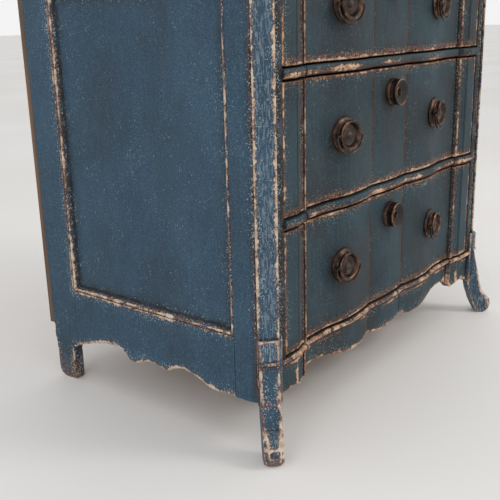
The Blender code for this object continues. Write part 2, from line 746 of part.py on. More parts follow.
def pull_plate_mesh():
    """Round cast plate: stepped flange, flared ring, dish and boss, with two lugs bored for the bail."""
    plate = turned("pull_plate", PLATE_SECTION, 20, (BRONZE, 0.4, 0.9))
    for side in (-1, 1):
        builder = bmesh.new()
        bmesh.ops.create_uvsphere(builder, u_segments=8, v_segments=6, radius=LUG_RADIUS)
        lug = add_object("lug", mesh_from("lug", builder), None, CUTTERS)
        lug.location = (side * LUG_REACH, -PIVOT_DEPTH, 0)
        apply_boolean(plate, lug, "UNION")
        builder = bmesh.new()
        bmesh.ops.create_cone(builder, cap_ends=True, segments=10, radius1=BAIL_RADIUS + PIN_CLEARANCE,
                              radius2=BAIL_RADIUS + PIN_CLEARANCE, depth=2 * PIN_LENGTH)
        bore = add_object("pin_bore", mesh_from("pin_bore", builder), None, CUTTERS)
        bore.matrix_world = (Matrix.Translation((side * (BAIL_HALF + GAP), -PIVOT_DEPTH, 0))
                             @ Matrix.Rotation(math.pi / 2, 4, "Y"))
        apply_boolean(plate, bore, "DIFFERENCE")
    finished = as_mesh(plate)
    data = finished.data
    bpy.data.objects.remove(finished, do_unlink=True)
    data.materials.clear()
    data.materials.append(material("pull_plate", BRONZE, 0.4, 0.9))
    data.shade_smooth()
    data.set_sharp_from_angle(angle=math.radians(40))
    return data


def bail_curve():
    """Round bar that hangs from its two pins, drawn about the pivot."""
    data = bpy.data.curves.new("bail", "CURVE")
    data.dimensions = "3D"
    data.bevel_depth = BAIL_RADIUS
    data.bevel_resolution = 2
    data.use_fill_caps = True
    corner = BAIL_CORNER
    pin_end = BAIL_HALF - PIN_LENGTH + 2 * GAP
    half = [(pin_end, 0.0), (BAIL_HALF - corner, 0.0), (BAIL_HALF - 0.3 * corner, -0.3 * corner),
            (BAIL_HALF, -corner)]
    for i in range(1, 7):
        turn = math.pi / 2 * i / 6
        half.append((BAIL_HALF * math.cos(turn), -corner - (BAIL_DROP - corner) * math.sin(turn)))
    route = half + [(-x, z) for x, z in reversed(half[:-1])]
    spline = data.splines.new("POLY")
    spline.points.add(len(route) - 1)
    for point, (x, z) in zip(spline.points, route):
        point.co = (x, 0, z, 1)
    data.materials.append(material("bail", BRONZE, 0.35, 0.95))
    return data


def keyhole(name, depth):
    """Cutter for a round hole with a slot below it, centred on the escutcheon."""
    outline = []
    slot = KEY_SLOT / 2
    start = math.asin(slot / KEY_ROUND)
    for i in range(9):
        turn = -math.pi / 2 + start + (2 * math.pi - 2 * start) * i / 8
        outline.append((KEY_ROUND * math.cos(turn), KEY_LENGTH / 4 + KEY_ROUND * math.sin(turn)))
    outline += [(-slot, -KEY_LENGTH * 0.6), (slot, -KEY_LENGTH * 0.6)]
    curve = outline_curve(name, outline, depth, None, CUTTERS)
    curve.matrix_world = Matrix.Rotation(math.pi / 2, 4, "X")
    return as_mesh(curve)


def escutcheon_mesh():
    """Deep round boss with a front ring, a cone inside it and the keyhole."""
    boss = turned("escutcheon", ESCUTCHEON_SECTION, 24, (BRONZE, 0.4, 0.9))
    apply_boolean(boss, keyhole("escutcheon_keyhole", 4 * ESCUTCHEON_DEPTH), "DIFFERENCE")
    finished = as_mesh(boss)
    data = finished.data
    bpy.data.objects.remove(finished, do_unlink=True)
    data.materials.clear()
    data.materials.append(material("escutcheon", BRONZE, 0.4, 0.9))
    return data


def drawer_front(name, low, high, look):
    """Serpentine board with rounded edges and a flat back."""
    end = OPENING_HALF - DRAWER_GAP_SIDE

    def section(place):
        face = Y_FACE + front_depth(place)
        if abs(place) == end:
            face += ARRIS
        back = Y_FACE + FRONT_THICKNESS
        return [(back, low), (face + ARRIS, low), (face + 0.3 * ARRIS, low + 0.3 * ARRIS),
                (face, low + ARRIS), (face, high - ARRIS), (face + 0.3 * ARRIS, high - 0.3 * ARRIS),
                (face + ARRIS, high), (back, high)]
    return front_loft(name, front_places(end, ARRIS), section, look)


def build_drawer(word, floor, ceiling, rail, plate, bail, boss):
    """One drawer between the levels floor and ceiling, with its pulls and lock."""
    bare = (BARE_WOOD, 0.7)
    low, high = floor + DRAWER_GAP_HIGH, ceiling - DRAWER_GAP_HIGH
    slide = bpy.data.objects.new(f"drawer_{word}_slide", None)
    PARTS.objects.link(slide)
    slide.location = (0, Y_FACE, (low + high) / 2)
    front = drawer_front(f"drawer_{word}_front", low, high, (FRONT_PAINT, 0.5))

    # Box behind the front
    near = Y_FACE + FRONT_THICKNESS + GAP
    side_out = OPENING_HALF - SIDE_INSET
    side_in = side_out - BOARD
    side_low, side_high = floor + GAP, high - SIDE_DROP
    board_low = side_low + BOTTOM_BOARD
    board_high = board_low + BOTTOM_BOARD
    back_near = Y_DRAWER_END - BOARD
    pieces = [
        front,
        box(f"drawer_{word}_side_left", (-side_out, near, side_low), (-side_in, Y_DRAWER_END, side_high), bare),
        box(f"drawer_{word}_side_right", (side_in, near, side_low), (side_out, Y_DRAWER_END, side_high), bare),
        box(f"drawer_{word}_back", (GAP - side_in, back_near, board_high + GAP),
            (side_in - GAP, Y_DRAWER_END, side_high - SIDE_DROP), bare),
        box(f"drawer_{word}_bottom", (GAP - side_in, near, board_low), (side_in - GAP, Y_DRAWER_END, board_high),
            bare),
    ]

    # Pulls, one on each side lobe
    pull_height = (low + high) / 2 + PULL_ABOVE_CENTRE
    for side, hand in ((-1, "left"), (1, "right")):
        turn = Matrix.Rotation(side * PULL_TURN, 4, "Z")
        seat = Vector((side * PULL_PLACE, Y_FACE + front_depth(PULL_PLACE), pull_height))
        back_plate = add_object(f"pull_plate_{word}_{hand}", plate)
        back_plate.matrix_world = Matrix.Translation(seat + turn @ Vector((0, -GAP, 0))) @ turn
        swing = add_object(f"bail_{word}_{hand}", bail)
        swing.matrix_world = Matrix.Translation(seat + turn @ Vector((0, -GAP - PIVOT_DEPTH, 0))) @ turn
        pieces += [back_plate, swing]

    # Escutcheon and lock on the centre lobe
    key_height = high - ESCUTCHEON_BELOW_EDGE
    escutcheon = add_object(f"escutcheon_{word}", boss)
    escutcheon.location = (0, Y_FACE + CENTRE_DEPTH - GAP, key_height)
    key_cut = keyhole(f"keyhole_{word}", 4 * FRONT_THICKNESS)
    key_cut.location = (0, Y_FACE, key_height)
    apply_boolean(front, key_cut, "DIFFERENCE")
    case_low = key_height - LOCK_BELOW
    case = box(f"lock_case_{word}", (-LOCK_WIDTH / 2, near, case_low),
               (LOCK_WIDTH / 2, near + LOCK_THICKNESS, high), (STEEL, 0.5, 0.8))
    bolt_low, bolt_high = key_height + KEY_LENGTH, high - BOLT_SUNK
    bolt_near = near + (LOCK_THICKNESS - BOLT_THICKNESS) / 2
    bolt_far = bolt_near + BOLT_THICKNESS
    bolt = box(f"lock_bolt_{word}", (-BOLT_WIDTH / 2, bolt_near, bolt_low),
               (BOLT_WIDTH / 2, bolt_far, bolt_high), (STEEL, 0.4, 0.9))
    channel = box(f"bolt_channel_{word}", (-BOLT_WIDTH / 2 - GAP, bolt_near - GAP, bolt_low - GAP),
                  (BOLT_WIDTH / 2 + GAP, bolt_far + GAP, high + BOLT_TRAVEL), None, CUTTERS)
    apply_boolean(case, channel, "DIFFERENCE")
    room = MORTISE_CLEARANCE
    mortise = box(f"mortise_{word}", (-BOLT_WIDTH / 2 - room, bolt_near - room, ceiling - room),
                  (BOLT_WIDTH / 2 + room, bolt_far + room, bolt_high + BOLT_TRAVEL + room), None, CUTTERS)
    apply_boolean(rail, mortise, "DIFFERENCE")
    hole = keyhole(f"case_keyhole_{word}", LOCK_THICKNESS)
    hole.location = (0, near, key_height)
    apply_boolean(case, hole, "DIFFERENCE")
    for piece in pieces + [escutcheon, case, bolt]:
        hold(piece, slide)


def build_drawers(rails):
    plate, bail, boss = pull_plate_mesh(), bail_curve(), escutcheon_mesh()
    levels = (
        ("lower", BASE_TOP, LOWER_RAIL_LOW),
        ("middle", LOWER_RAIL_LOW + RAIL_HEIGHT, UPPER_RAIL_LOW),
        ("upper", UPPER_RAIL_LOW + RAIL_HEIGHT, CASE_TOP - RAIL_HEIGHT),
    )
    for word, floor, ceiling in levels:
        build_drawer(word, floor, ceiling, rails[word], plate, bail, boss)


build_drawers(build_case())
bpy.context.view_layer.update()
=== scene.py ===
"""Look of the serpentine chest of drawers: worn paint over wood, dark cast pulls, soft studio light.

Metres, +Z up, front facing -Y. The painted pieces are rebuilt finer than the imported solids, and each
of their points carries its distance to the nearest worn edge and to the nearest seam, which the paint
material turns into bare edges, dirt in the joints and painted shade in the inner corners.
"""
from math import asin, ceil, cos, hypot, pi, radians, sin, sqrt

import bmesh
import bpy
import numpy as np
from mathutils import Matrix, Vector, noise
from mathutils.bvhtree import BVHTree
from mathutils.kdtree import KDTree


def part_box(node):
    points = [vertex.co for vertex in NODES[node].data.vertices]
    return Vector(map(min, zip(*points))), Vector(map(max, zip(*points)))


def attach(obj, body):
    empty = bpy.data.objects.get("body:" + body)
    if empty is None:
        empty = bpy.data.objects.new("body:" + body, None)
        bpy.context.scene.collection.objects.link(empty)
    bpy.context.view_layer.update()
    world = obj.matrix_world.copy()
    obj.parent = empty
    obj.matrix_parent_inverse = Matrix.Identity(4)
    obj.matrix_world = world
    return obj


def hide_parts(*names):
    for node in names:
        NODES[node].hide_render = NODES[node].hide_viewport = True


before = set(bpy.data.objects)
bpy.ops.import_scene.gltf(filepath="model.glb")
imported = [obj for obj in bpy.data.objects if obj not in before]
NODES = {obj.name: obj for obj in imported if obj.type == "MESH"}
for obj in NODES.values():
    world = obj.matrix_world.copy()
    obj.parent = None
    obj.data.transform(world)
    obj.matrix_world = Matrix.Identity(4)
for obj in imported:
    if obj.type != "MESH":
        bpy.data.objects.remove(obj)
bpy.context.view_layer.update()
SCENE = bpy.context.scene
MM = 0.001
GAP = 0.0003  # between pieces that touch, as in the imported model
LEVELS = ("lower", "middle", "upper")
HANDS = ("left", "right")

# Camera of the photograph, in the frame of the chest
CAMERA_PLACE = Vector((-1.357, -0.982, 0.718))
CAMERA_YAW = radians(51.40)  # from +Y towards +X
CAMERA_PITCH = radians(16.60)  # downwards
CAMERA_ROLL = radians(-1.48)
CAMERA_FOCUS = 782.2  # focal length in pixels of the photograph's frame
PHOTO_SIDE = 500
SENSOR = 36.0

# Serpentine front, measured across from the centre
END_BAND = 0.041
BEAD_FROM_END = 0.071
BEAD_WIDTH = 0.007
LOBE_PEAK = 0.150
VALLEY = 0.240
CREASE = 0.0655
HOLLOW_DEPTH = 0.0065
VALLEY_DEPTH = 0.0135
LOBE_DEPTH = 0.0040
CENTRE_DEPTH = 0.0080
CREASE_DEPTH = 0.0130
BEAD_HEIGHT = 0.0055
LINE_DEPTH = 0.0012  # two lines cut at the edge of each end band
LINE_HALF = 0.0009
LINE_STEP = 0.0034
ARRIS = 0.0025

# Rails, roll, apron, posts and legs
RAIL_NOSE = 0.007
RAIL_TOP_TURN = 0.55  # how far the nose turns back above and below
RAIL_LOW_TURN = 1.6
ROLL_NOSE = 0.007
ROLL_HEIGHT = 0.009
APRON_RECESS = 0.003
CANT = 0.0245
COVE_WIDTH = 0.019
LEG_ROLL_LOW = 0.1625
LEG_ROLL_TOP = LEG_ROLL_LOW + 0.007
LEG_LINE = 0.100  # height of the pale line across each front leg

# Pulls, bails and escutcheons
PULL_PLACE = 0.178
PULL_TURN = radians(8.5)
PULL_RADIUS = 0.031
PULL_DEPTH = 0.0185
DISH_DEPTH = 0.009
DISH_RADIUS = 0.0190
LUG_REACH = 0.0260
LUG_RADIUS = 0.0048
PIVOT_DEPTH = 0.0145
BORE_RADIUS = 0.0024
BAIL_RADIUS = 0.0020
BAIL_HALF = 0.0338
BAIL_DROP = 0.0325
PIN_LENGTH = 0.009
PIN_PLAY = 0.0006
PIN_TAPER = 0.0004
PIN_END = 0.8  # each pin narrows to this share of the bar
BAIL_CORNER = 0.003
BAIL_SIDES = 16
CAST_INSIDE = 0.98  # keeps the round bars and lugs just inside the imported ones
ESCUTCHEON_RADIUS = 0.026
ESCUTCHEON_DEPTH = 0.020
CONE_DEPTH = 0.009
CONE_RADIUS = 0.0225
SURROUND_RADIUS = 0.0098  # raised ring round the keyhole
KEY_ROUND = 0.0032  # radius of the keyhole's round end
KEY_SLOT = 0.0032
KEY_LENGTH = 0.012
KEY_RISE = KEY_LENGTH / 4  # centre of the round end
KEY_FOOT = KEY_LENGTH * 0.6
CUTTER_LENGTH = 0.1
BOLT_TRAVEL = 0.011
MORTISE_CLEARANCE = 0.0015
RIB_DEPTH = 0.0005  # ribs round the side of each escutcheon
RIB_COUNT = 40
RIB_ROWS = range(13, 19)  # points of the section that are ribbed
PLATE_DULL = 0.3  # extra dirt in the hollow of each casting
BOSS_DULL = 0.8

# Bare boards and locks
BACK_BOARDS = 6
GROOVE_HALF = 0.0012
GROOVE_DEPTH = 0.0025
BACK_EASE = 0.001
BACK_STEP = 0.02  # widest and tallest faces of the boards
BACK_RISE = 0.03
BOARD_EASE = 0.0008
THIN_EASE = 0.0004
LOCK_EASE = 0.0005

# The lock bolt that rises into each rail
BOLT_UNDER = {"drawer_rail_lower": "lock_bolt_lower", "drawer_rail_upper": "lock_bolt_middle",
              "top_rail": "lock_bolt_upper"}

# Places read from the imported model
FRONT_LOW, FRONT_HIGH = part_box("drawer_middle_front")
Y_FACE = FRONT_LOW.y
FRONT_END = FRONT_HIGH.x
OPENING_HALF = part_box("corner_post_right")[0].x
HALF_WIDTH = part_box("corner_post_right")[1].x
Y_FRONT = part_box("corner_post_right")[0].y
RAIL_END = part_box("drawer_rail_lower")[1].x
BASE_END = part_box("base_moulding")[1].x
BEAD_CENTRE = OPENING_HALF - BEAD_FROM_END
BAND_EDGE = OPENING_HALF - END_BAND
BEAD_RADIUS = BEAD_WIDTH / 2
Y_CANT = Y_FRONT + CANT
PANEL_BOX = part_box("side_panel_right")
BASE_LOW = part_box("base_moulding")[0].z
APRON_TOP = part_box("front_apron")[1].z
APRON_LINE = APRON_TOP - 0.008  # height of the pale line under the base moulding
LINE_SLACK = MM / 10  # points this close to the height of a pale line lie on it

# Where a worn edge stops being one kind and becomes another
BEHIND_FACE = 0.025
BEHIND_NOSE = 0.030
SCALLOP_TOP = 0.125
REAR_FOOT_TOP = 0.09
TOE_TOP = 0.03

# Lower edge of the apron: (place across, height, shape of the turn)
APRON_EDGE = (
    (0.000, 0.0920, "round"), (0.0695, 0.1005, "sharp"), (0.115, 0.0910, "round"),
    (0.270, 0.1115, "round"), (0.3145, 0.0890, "sharp"), (0.345, 0.0980, "round"),
    (0.390, 0.0870, "sharp"),
)

# Fineness of the rebuilt pieces
STEP = 0.004  # between the sections of the front, and between their points
RAIL_ROWS = 14  # faces from foot to top of a rail's nose, the roll and the apron
ROLL_ROWS = 12
APRON_ROWS = 14
LONGEST = 0.0065  # widest face of a board or post
SAMPLE = 0.003  # between the points that stand for an edge
WELD = 0.00002  # corners this close are one corner
ON_CUT = 0.000001  # what is this close to a cut lies on it
SHARP = radians(19)  # folds above this count as edges
FLAT = radians(0.6)  # folds below this are dissolved before a piece is eased
ROUNDED = radians(30)  # clear folds above this are rounded
EASE_WIDTH = 0.0012

# What lies near a point
TOUCHING = 0.0009  # edges this close to a neighbour are joints, not worn edges
FAR = 60.0  # distances are kept up to this many millimetres
JOINT_SLACK = 1.8  # a flush joint gathers dirt as if it were this much further off
DOME_COUNT = 12  # directions in which a point looks for what closes it off
DOME_SPREAD = 0.96  # below 1, so that the lowest directions clear the surface
SHADE_REACH = 0.026  # how far it looks
CAST_REACH = 0.010  # the same for castings, looking from just over their surface
CAST_START = 0.0004
CURVE_GAIN = 2.2

# Dents along the worn edges
DENT = 0.0007
DENT_REACH = 6.0  # in from the edge, in millimetres
DENT_MOST = 1.2  # wear above this makes them no deeper
DENT_BROAD = 45  # scales of the broad and the small dents, and what lifts both
DENT_SMALL = 130
DENT_LIFT = 0.15
WORN_LEAST = 0.03  # edges worn less than this stay whole

# Light: each lamp by its name, place, size, power and tint
WORLD_LIGHT = 0.80
WORLD_SEEN = 0.90  # brightness of the surround where the camera sees it
FLOOR_REACH = 40.0
LAMP_TARGET = (0.0, 0.0, 0.4)
LAMPS = (
    ("key", (1.3, -2.6, 2.3), 1.1, 30.0, (1.0, 0.97, 0.93)),
    ("side", (-3.0, -0.6, 1.6), 1.6, 13.0, (0.94, 0.97, 1.0)),
)


def colour(red, green, blue):
    """Linear colour from 8-bit values as they look on screen."""
    values = [v / 255 for v in (red, green, blue)]
    return tuple(v / 12.92 if v <= 0.04045 else ((v + 0.055) / 1.055) ** 2.4 for v in values) + (1.0,)


# Materials

class Graph:
    """Node tree of a material or a world, with short calls for its nodes."""

    def __init__(self, owner):
        self.owner = owner
        owner.use_nodes = True
        self.tree = owner.node_tree

    def add(self, kind, **settings):
        node = self.tree.nodes.new(kind)
        for key, value in settings.items():
            setattr(node, key, value)
        return node

    def feed(self, socket, value):
        if isinstance(value, bpy.types.NodeSocket):
            self.tree.links.new(value, socket)
        else:
            socket.default_value = value

    def run(self, node, *values):
        """Feed a node's inputs in their order, and give its first output."""
        for socket, value in zip(node.inputs, values):
            self.feed(socket, value)
        return node.outputs[0]

    def math(self, operation, *values, clamp=False):
        return self.run(self.add("ShaderNodeMath", operation=operation, use_clamp=clamp), *values)

    def times(self, *values, clamp=False):
        return self.math("MULTIPLY", *values, clamp=clamp)

    def plus(self, *values):
        return self.math("ADD", *values)

    def minus(self, *values):
        return self.math("SUBTRACT", *values)

    def step(self, value, low, high, start=0.0, end=1.0):
        """Smooth step from start to end while value goes from low to high."""
        node = self.add("ShaderNodeMapRange", interpolation_type="SMOOTHSTEP")
        return self.run(node, value, low, high, start, end)

    def noise(self, scale, detail=3.0, rough=0.5, stretch=(1, 1, 1), shift=0.0):
        """Cloudy pattern, shifted so that it agrees with no other one."""
        place = self.add("ShaderNodeTexCoord").outputs["Object"]
        place = self.run(self.add("ShaderNodeMapping"), place, (shift, shift, shift), (0, 0, 0), stretch)
        return self.run(self.add("ShaderNodeTexNoise"), place, 0.0, scale, detail, rough)

    def mix(self, factor, first, second):
        node = self.add("ShaderNodeMix", data_type="RGBA")
        self.feed(node.inputs[0], factor)
        self.feed(node.inputs[6], first)
        self.feed(node.inputs[7], second)
        return node.outputs[2]

    def attributes(self, *names):
        """Numbers stored for each point of the mesh."""
        return [self.add("ShaderNodeAttribute", attribute_name=name).outputs["Fac"] for name in names]

    def finish(self, base, rough, height=None, depth=0.0005, metallic=0.0, specular=0.5):
        """Feed the shader, with a bump if there is a height, and give the material."""
        inputs = self.tree.nodes["Principled BSDF"].inputs
        for name, value in (("Base Color", base), ("Roughness", rough), ("Metallic", metallic)):
            self.feed(inputs[name], value)
        inputs["Specular IOR Level"].default_value = specular
        if height is not None:
            bump = self.add("ShaderNodeBump")
            bump.inputs["Distance"].default_value = depth
            bump.inputs["Strength"].default_value = 1.0
            self.feed(bump.inputs["Height"], height)
            self.feed(inputs["Normal"], bump.outputs["Normal"])
        return self.owner


RIM_BROWN = colour(128, 80, 58)
WOOD_BARE = colour(104, 70, 52)
DIRT_AND_SHADE = colour(24, 24, 25)
CHALK = colour(136, 150, 162)
METAL_DIRT = colour(66, 60, 55)
METAL_DEEP_DIRT = colour(26, 23, 22)


def paint(name, deep, light, pale, glaze_and_shade, glazed, cream, cream_dark, fleck_level):
    """Old paint, rubbed through to a pale undercoat and brown wood along the edges.

    The paint goes deep to light, with pale dry specks and a brown glaze as strong as glazed says; the
    glaze also tints the painted shade.
    The undercoat goes from cream_dark to cream, and a higher fleck_level leaves fewer flecks.
    """
    g = Graph(bpy.data.materials.new(name))
    edge, rub, seam, shade, soil_and_shade, chalk = g.attributes("edge", "rub", "seam", "shade", "soil_and_shade", "chalk")
    broad = g.noise(5.0, 4, 0.6)
    medium = g.noise(60, 6, 0.70)
    fine = g.noise(380, 3, 0.62)
    brush = g.noise(1.0, 5, 0.6, stretch=(240, 240, 26))

    # Paint, its brush marks, pale dry specks and brown glaze
    tone = g.plus(g.times(broad, 0.62), g.times(brush, 0.38))
    base = g.mix(g.step(tone, 0.38, 0.62), deep, light)
    base = g.mix(g.step(fine, 0.35, 0.75, 0.0, 0.18), base, pale)
    stain = g.step(g.noise(9, 4, 0.6, stretch=(1, 1, 0.5), shift=8.0), 0.42, 0.68, 0.0, glazed)
    base = g.mix(stain, base, glaze_and_shade)

    # Upright chalky scratches
    scratch = g.noise(1.0, 4, 0.65, stretch=(420, 420, 60), shift=14.0)
    scratch = g.step(scratch, 0.48, 0.60, 0.0, 0.95)
    base = g.mix(g.times(chalk, scratch), base, CHALK)

    # Brown soiling, heavier where it gathers, and painted shade in recesses and under noses and rolls
    blotch = g.step(g.noise(34, 5, 0.7, stretch=(1, 1, 0.55), shift=11.0), 0.38, 0.60, 0.25, 1.0)
    soiled_and_shaded = g.times(soil_and_shade, blotch)
    base = g.mix(g.times(soiled_and_shaded, 0.95, clamp=True), base, glaze_and_shade)
    fringe = g.times(g.step(soil_and_shade, 0.75, 1.0), blotch)
    base = g.mix(g.times(fringe, 0.40), base, RIM_BROWN)
    caked_dirt_and_shade = g.step(g.times(g.plus(soil_and_shade, soiled_and_shaded), 0.5), 0.85, 1.28, 0.0, 0.92)
    base = g.mix(caked_dirt_and_shade, base, DIRT_AND_SHADE)

    # Flecks knocked out of the paint, thicker near the edges
    away = g.step(edge, 0.0, 26.0)
    level = g.plus(g.times(away, 0.690 - fleck_level), fleck_level)
    level = g.minus(level, g.times(soiled_and_shaded, 0.035))
    patchy = g.times(g.step(g.noise(15, 3, 0.6, shift=5.0), 0.42, 0.66), 0.060)
    fleck = g.plus(g.minus(g.noise(340, 2.5, 0.55, shift=3.0), level), patchy)
    fleck = g.times(g.step(fleck, 0.0, 0.03), g.step(away, 0.0, 1.0, 0.90, 0.55))
    base = g.mix(fleck, base, g.mix(g.step(edge, 2.0, 9.0), cream_dark, pale))

    # How far the wear reaches in from the edge, in millimetres
    swing = g.step(g.noise(14, 3, 0.6, shift=2.0), 0.34, 0.66, 0.15, 1.45)
    reach = g.times(g.times(rub, swing), 3.0)
    ragged = g.step(medium, 0.32, 0.68, 0.0, 1.8)
    chips = g.plus(g.times(fine, 0.55), g.times(g.noise(190, 3, 0.6, shift=9.0), 0.45))
    grain = g.times(g.minus(chips, 0.5), g.step(rub, 0.80, 1.10, 3.5, 13.0))
    worn = g.minus(g.times(reach, ragged), edge)
    worn = g.plus(worn, g.times(grain, g.math("MINIMUM", rub, 1.0)))
    live = g.step(rub, 0.02, 0.10)
    rim = g.times(g.step(worn, -1.5, -0.1), live)
    bare = g.times(g.step(worn, -0.2, 0.8), live)
    heart = g.times(reach, g.step(g.noise(55, 5, 0.7, shift=7.0), 0.50, 0.72))
    heart = g.times(g.step(g.minus(heart, g.times(edge, 2.0)), 0.2, 1.4), bare)
    undercoat = g.mix(g.step(g.noise(80, 4, 0.65, shift=6.0), 0.40, 0.60), cream_dark, cream)
    base = g.mix(g.times(rim, 0.70), base, RIM_BROWN)
    base = g.mix(g.times(bare, 0.94), base, undercoat)
    base = g.mix(g.times(heart, 0.75), base, g.mix(g.step(fine, 0.4, 0.6), WOOD_BARE, RIM_BROWN))

    # Dirt in the joints, and painted shade in the inner corners and wherever a point is closed in
    near = g.step(seam, 0.2, 3.6, 1.0, 0.0)
    darkening = g.times(near, g.step(medium, 0.25, 0.55, 0.55, 1.0))
    occlusion_shade = g.times(g.step(shade, 0.06, 0.60), g.step(medium, 0.2, 0.7, 0.75, 1.0))
    darkening = g.math("MAXIMUM", g.times(darkening, 0.86), g.times(occlusion_shade, 0.92))
    base = g.mix(darkening, base, DIRT_AND_SHADE)

    rough = g.step(fine, 0.3, 0.7, 0.50, 0.66)
    rough = g.plus(rough, g.times(bare, 0.15))
    height = g.plus(g.times(bare, -0.6), g.times(brush, 0.30))
    height = g.plus(height, g.times(fine, 0.20))
    return g.finish(base, rough, height, 0.0005, specular=0.25)


def wood(name, dark, light, along):
    """Bare old wood with its grain along one axis."""
    g = Graph(bpy.data.materials.new(name))
    stretch = tuple(2.2 if axis == along else 60.0 for axis in "xyz")
    grain = g.noise(1.0, 6, 0.62, stretch=stretch)
    rings = g.noise(1.0, 3, 0.5, stretch=tuple(v * 0.25 for v in stretch), shift=4.0)
    broad = g.noise(4.0, 3)
    tone = g.plus(g.times(grain, 0.6), g.times(rings, 0.4))
    base = g.mix(g.step(tone, 0.38, 0.62), dark, light)
    base = g.mix(g.step(broad, 0.35, 0.7, 0.0, 0.35), base, dark)
    knots = g.step(g.noise(7, 2, 0.5, shift=9.0), 0.70, 0.78, 0.0, 0.6)
    base = g.mix(knots, base, DIRT_AND_SHADE)
    rough = g.step(grain, 0.3, 0.7, 0.62, 0.80)
    return g.finish(base, rough, grain, 0.0006, specular=0.3)


def metal(name, deep, light, bright):
    """Dark cast metal, rubbed bright where it stands out and dull with dirt where it doesn't."""
    g = Graph(bpy.data.materials.new(name))
    curve, shade = g.attributes("curve", "shade")
    broad = g.noise(70, 4, 0.6)
    fine = g.noise(700, 3, 0.6)
    base = g.mix(g.step(broad, 0.35, 0.65), deep, light)
    rubbed = g.plus(curve, g.times(g.minus(broad, 0.5), 1.8))
    rubbed = g.step(rubbed, 0.30, 0.85, 0.0, 0.80)
    base = g.mix(rubbed, base, bright)
    darkening = g.times(g.step(shade, 0.12, 0.45), g.step(broad, 0.3, 0.6, 0.6, 1.0))
    base = g.mix(g.times(darkening, 0.8), base, METAL_DIRT)
    deep_dirt = g.step(shade, 0.35, 0.75, 0.0, 0.9)
    base = g.mix(deep_dirt, base, METAL_DEEP_DIRT)
    rough = g.plus(g.step(fine, 0.3, 0.7, 0.30, 0.48), g.times(darkening, 0.25))
    rough = g.plus(rough, g.times(deep_dirt, 0.15))
    metallic = g.minus(0.85, g.times(g.math("MAXIMUM", darkening, deep_dirt), 0.8))
    height = g.plus(broad, g.times(fine, 0.35))
    return g.finish(base, rough, height, 0.0005, metallic=metallic)


SIDE_PAINT = paint("side_paint_worn", colour(32, 58, 79), colour(44, 73, 96), colour(142, 166, 172),
                   colour(44, 47, 50), 0.30, colour(212, 198, 180), colour(184, 158, 136), 0.604)
# The front's paint has its own greener tone, and is darker than the side's as painted shade on the
# front.
FRONT_PAINT_SHADED = paint("front_paint_worn", colour(15, 35, 45), colour(33, 58, 69), colour(120, 136, 136),
                    colour(48, 41, 38), 0.50, colour(208, 182, 156), colour(172, 130, 102), 0.612)
WOOD_X = wood("bare_wood_across", colour(112, 82, 58), colour(168, 134, 100), "x")
WOOD_Y = wood("bare_wood_deep", colour(112, 82, 58), colour(172, 138, 104), "y")
WOOD_Z = wood("bare_wood_upright", colour(82, 62, 48), colour(128, 102, 80), "z")
BRONZE = metal("cast_bronze", colour(48, 38, 34), colour(82, 66, 58), colour(160, 110, 80))
STEEL = metal("old_steel", colour(70, 68, 66), colour(110, 106, 100), colour(170, 165, 158))


# Mesh helpers

def put_in(name, data):
    """New object in the scene."""
    made = bpy.data.objects.new(name, data)
    SCENE.collection.objects.link(made)
    return made


def as_object(name, mesh, material):
    """Object from a bmesh, its faces turned outwards."""
    bmesh.ops.recalc_face_normals(mesh, faces=mesh.faces)
    data = bpy.data.meshes.new(name)
    mesh.to_mesh(data)
    mesh.free()
    data.materials.append(material)
    return put_in(name, data)


def loft(rings):
    """Closed mesh through a row of rings that have the same number of points."""
    mesh = bmesh.new()
    rows = [[mesh.verts.new(point) for point in ring] for ring in rings]
    count = len(rows[0])
    for near, far in zip(rows, rows[1:]):
        for i in range(count):
            j = (i + 1) % count
            mesh.faces.new((near[i], near[j], far[j], far[i]))
    mesh.faces.new(rows[0])
    mesh.faces.new(rows[-1])
    return mesh


def welded(node):
    """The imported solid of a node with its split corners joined."""
    mesh = bmesh.new()
    mesh.from_mesh(NODES[node].data)
    bmesh.ops.remove_doubles(mesh, verts=mesh.verts, dist=WELD)
    return mesh


def slice_fine(mesh, step):
    """Cut the surface along all three axes, so that no face is wider than step."""
    for axis in range(3):
        across = [v.co[axis] for v in mesh.verts]
        low, high = min(across), max(across)
        count = ceil((high - low) / step)
        normal = Vector([float(i == axis) for i in range(3)])
        ahead = mesh.verts[:] + mesh.edges[:] + mesh.faces[:]
        for i in range(1, count):
            place = low + (high - low) * i / count
            cut = bmesh.ops.bisect_plane(mesh, geom=ahead, dist=ON_CUT, plane_no=normal,
                                         plane_co=normal * place)
            ahead = [part for part in cut["geom"] if reach_along(part, axis) > place + ON_CUT]


def reach_along(part, axis):
    """Furthest coordinate of a vertex, edge or face along an axis."""
    if isinstance(part, bmesh.types.BMVert):
        return part.co[axis]
    return max(v.co[axis] for v in part.verts)


def spread(start, stop, step):
    """Even places from start up to, but not including, stop, at most step apart."""
    count = max(1, ceil(abs(stop - start) / step))
    return [start + (stop - start) * i / count for i in range(count)]


def fade(value, full, none):
    """1 up to full, falling smoothly to 0 at none."""
    into = min(max((value - full) / (none - full), 0.0), 1.0)
    return 1 - into * into * (3 - 2 * into)


# The painted pieces, each with its body and slot, and what lies near them

SIDE_KINDS = ("corner_post", "rear_post", "side_top_rail", "side_bottom_rail", "side_panel", "front_leg")
PAINTED = {"top_board": ("case", "side_paint")}
PAINTED.update({name: ("case", "front_paint") for name in ("base_moulding", "front_apron", *BOLT_UNDER)})
PAINTED.update({f"{kind}_{hand}": ("case", "side_paint") for hand in HANDS for kind in SIDE_KINDS})
PAINTED.update({f"drawer_{level}_front": (f"drawer_{level}", "front_paint") for level in LEVELS})


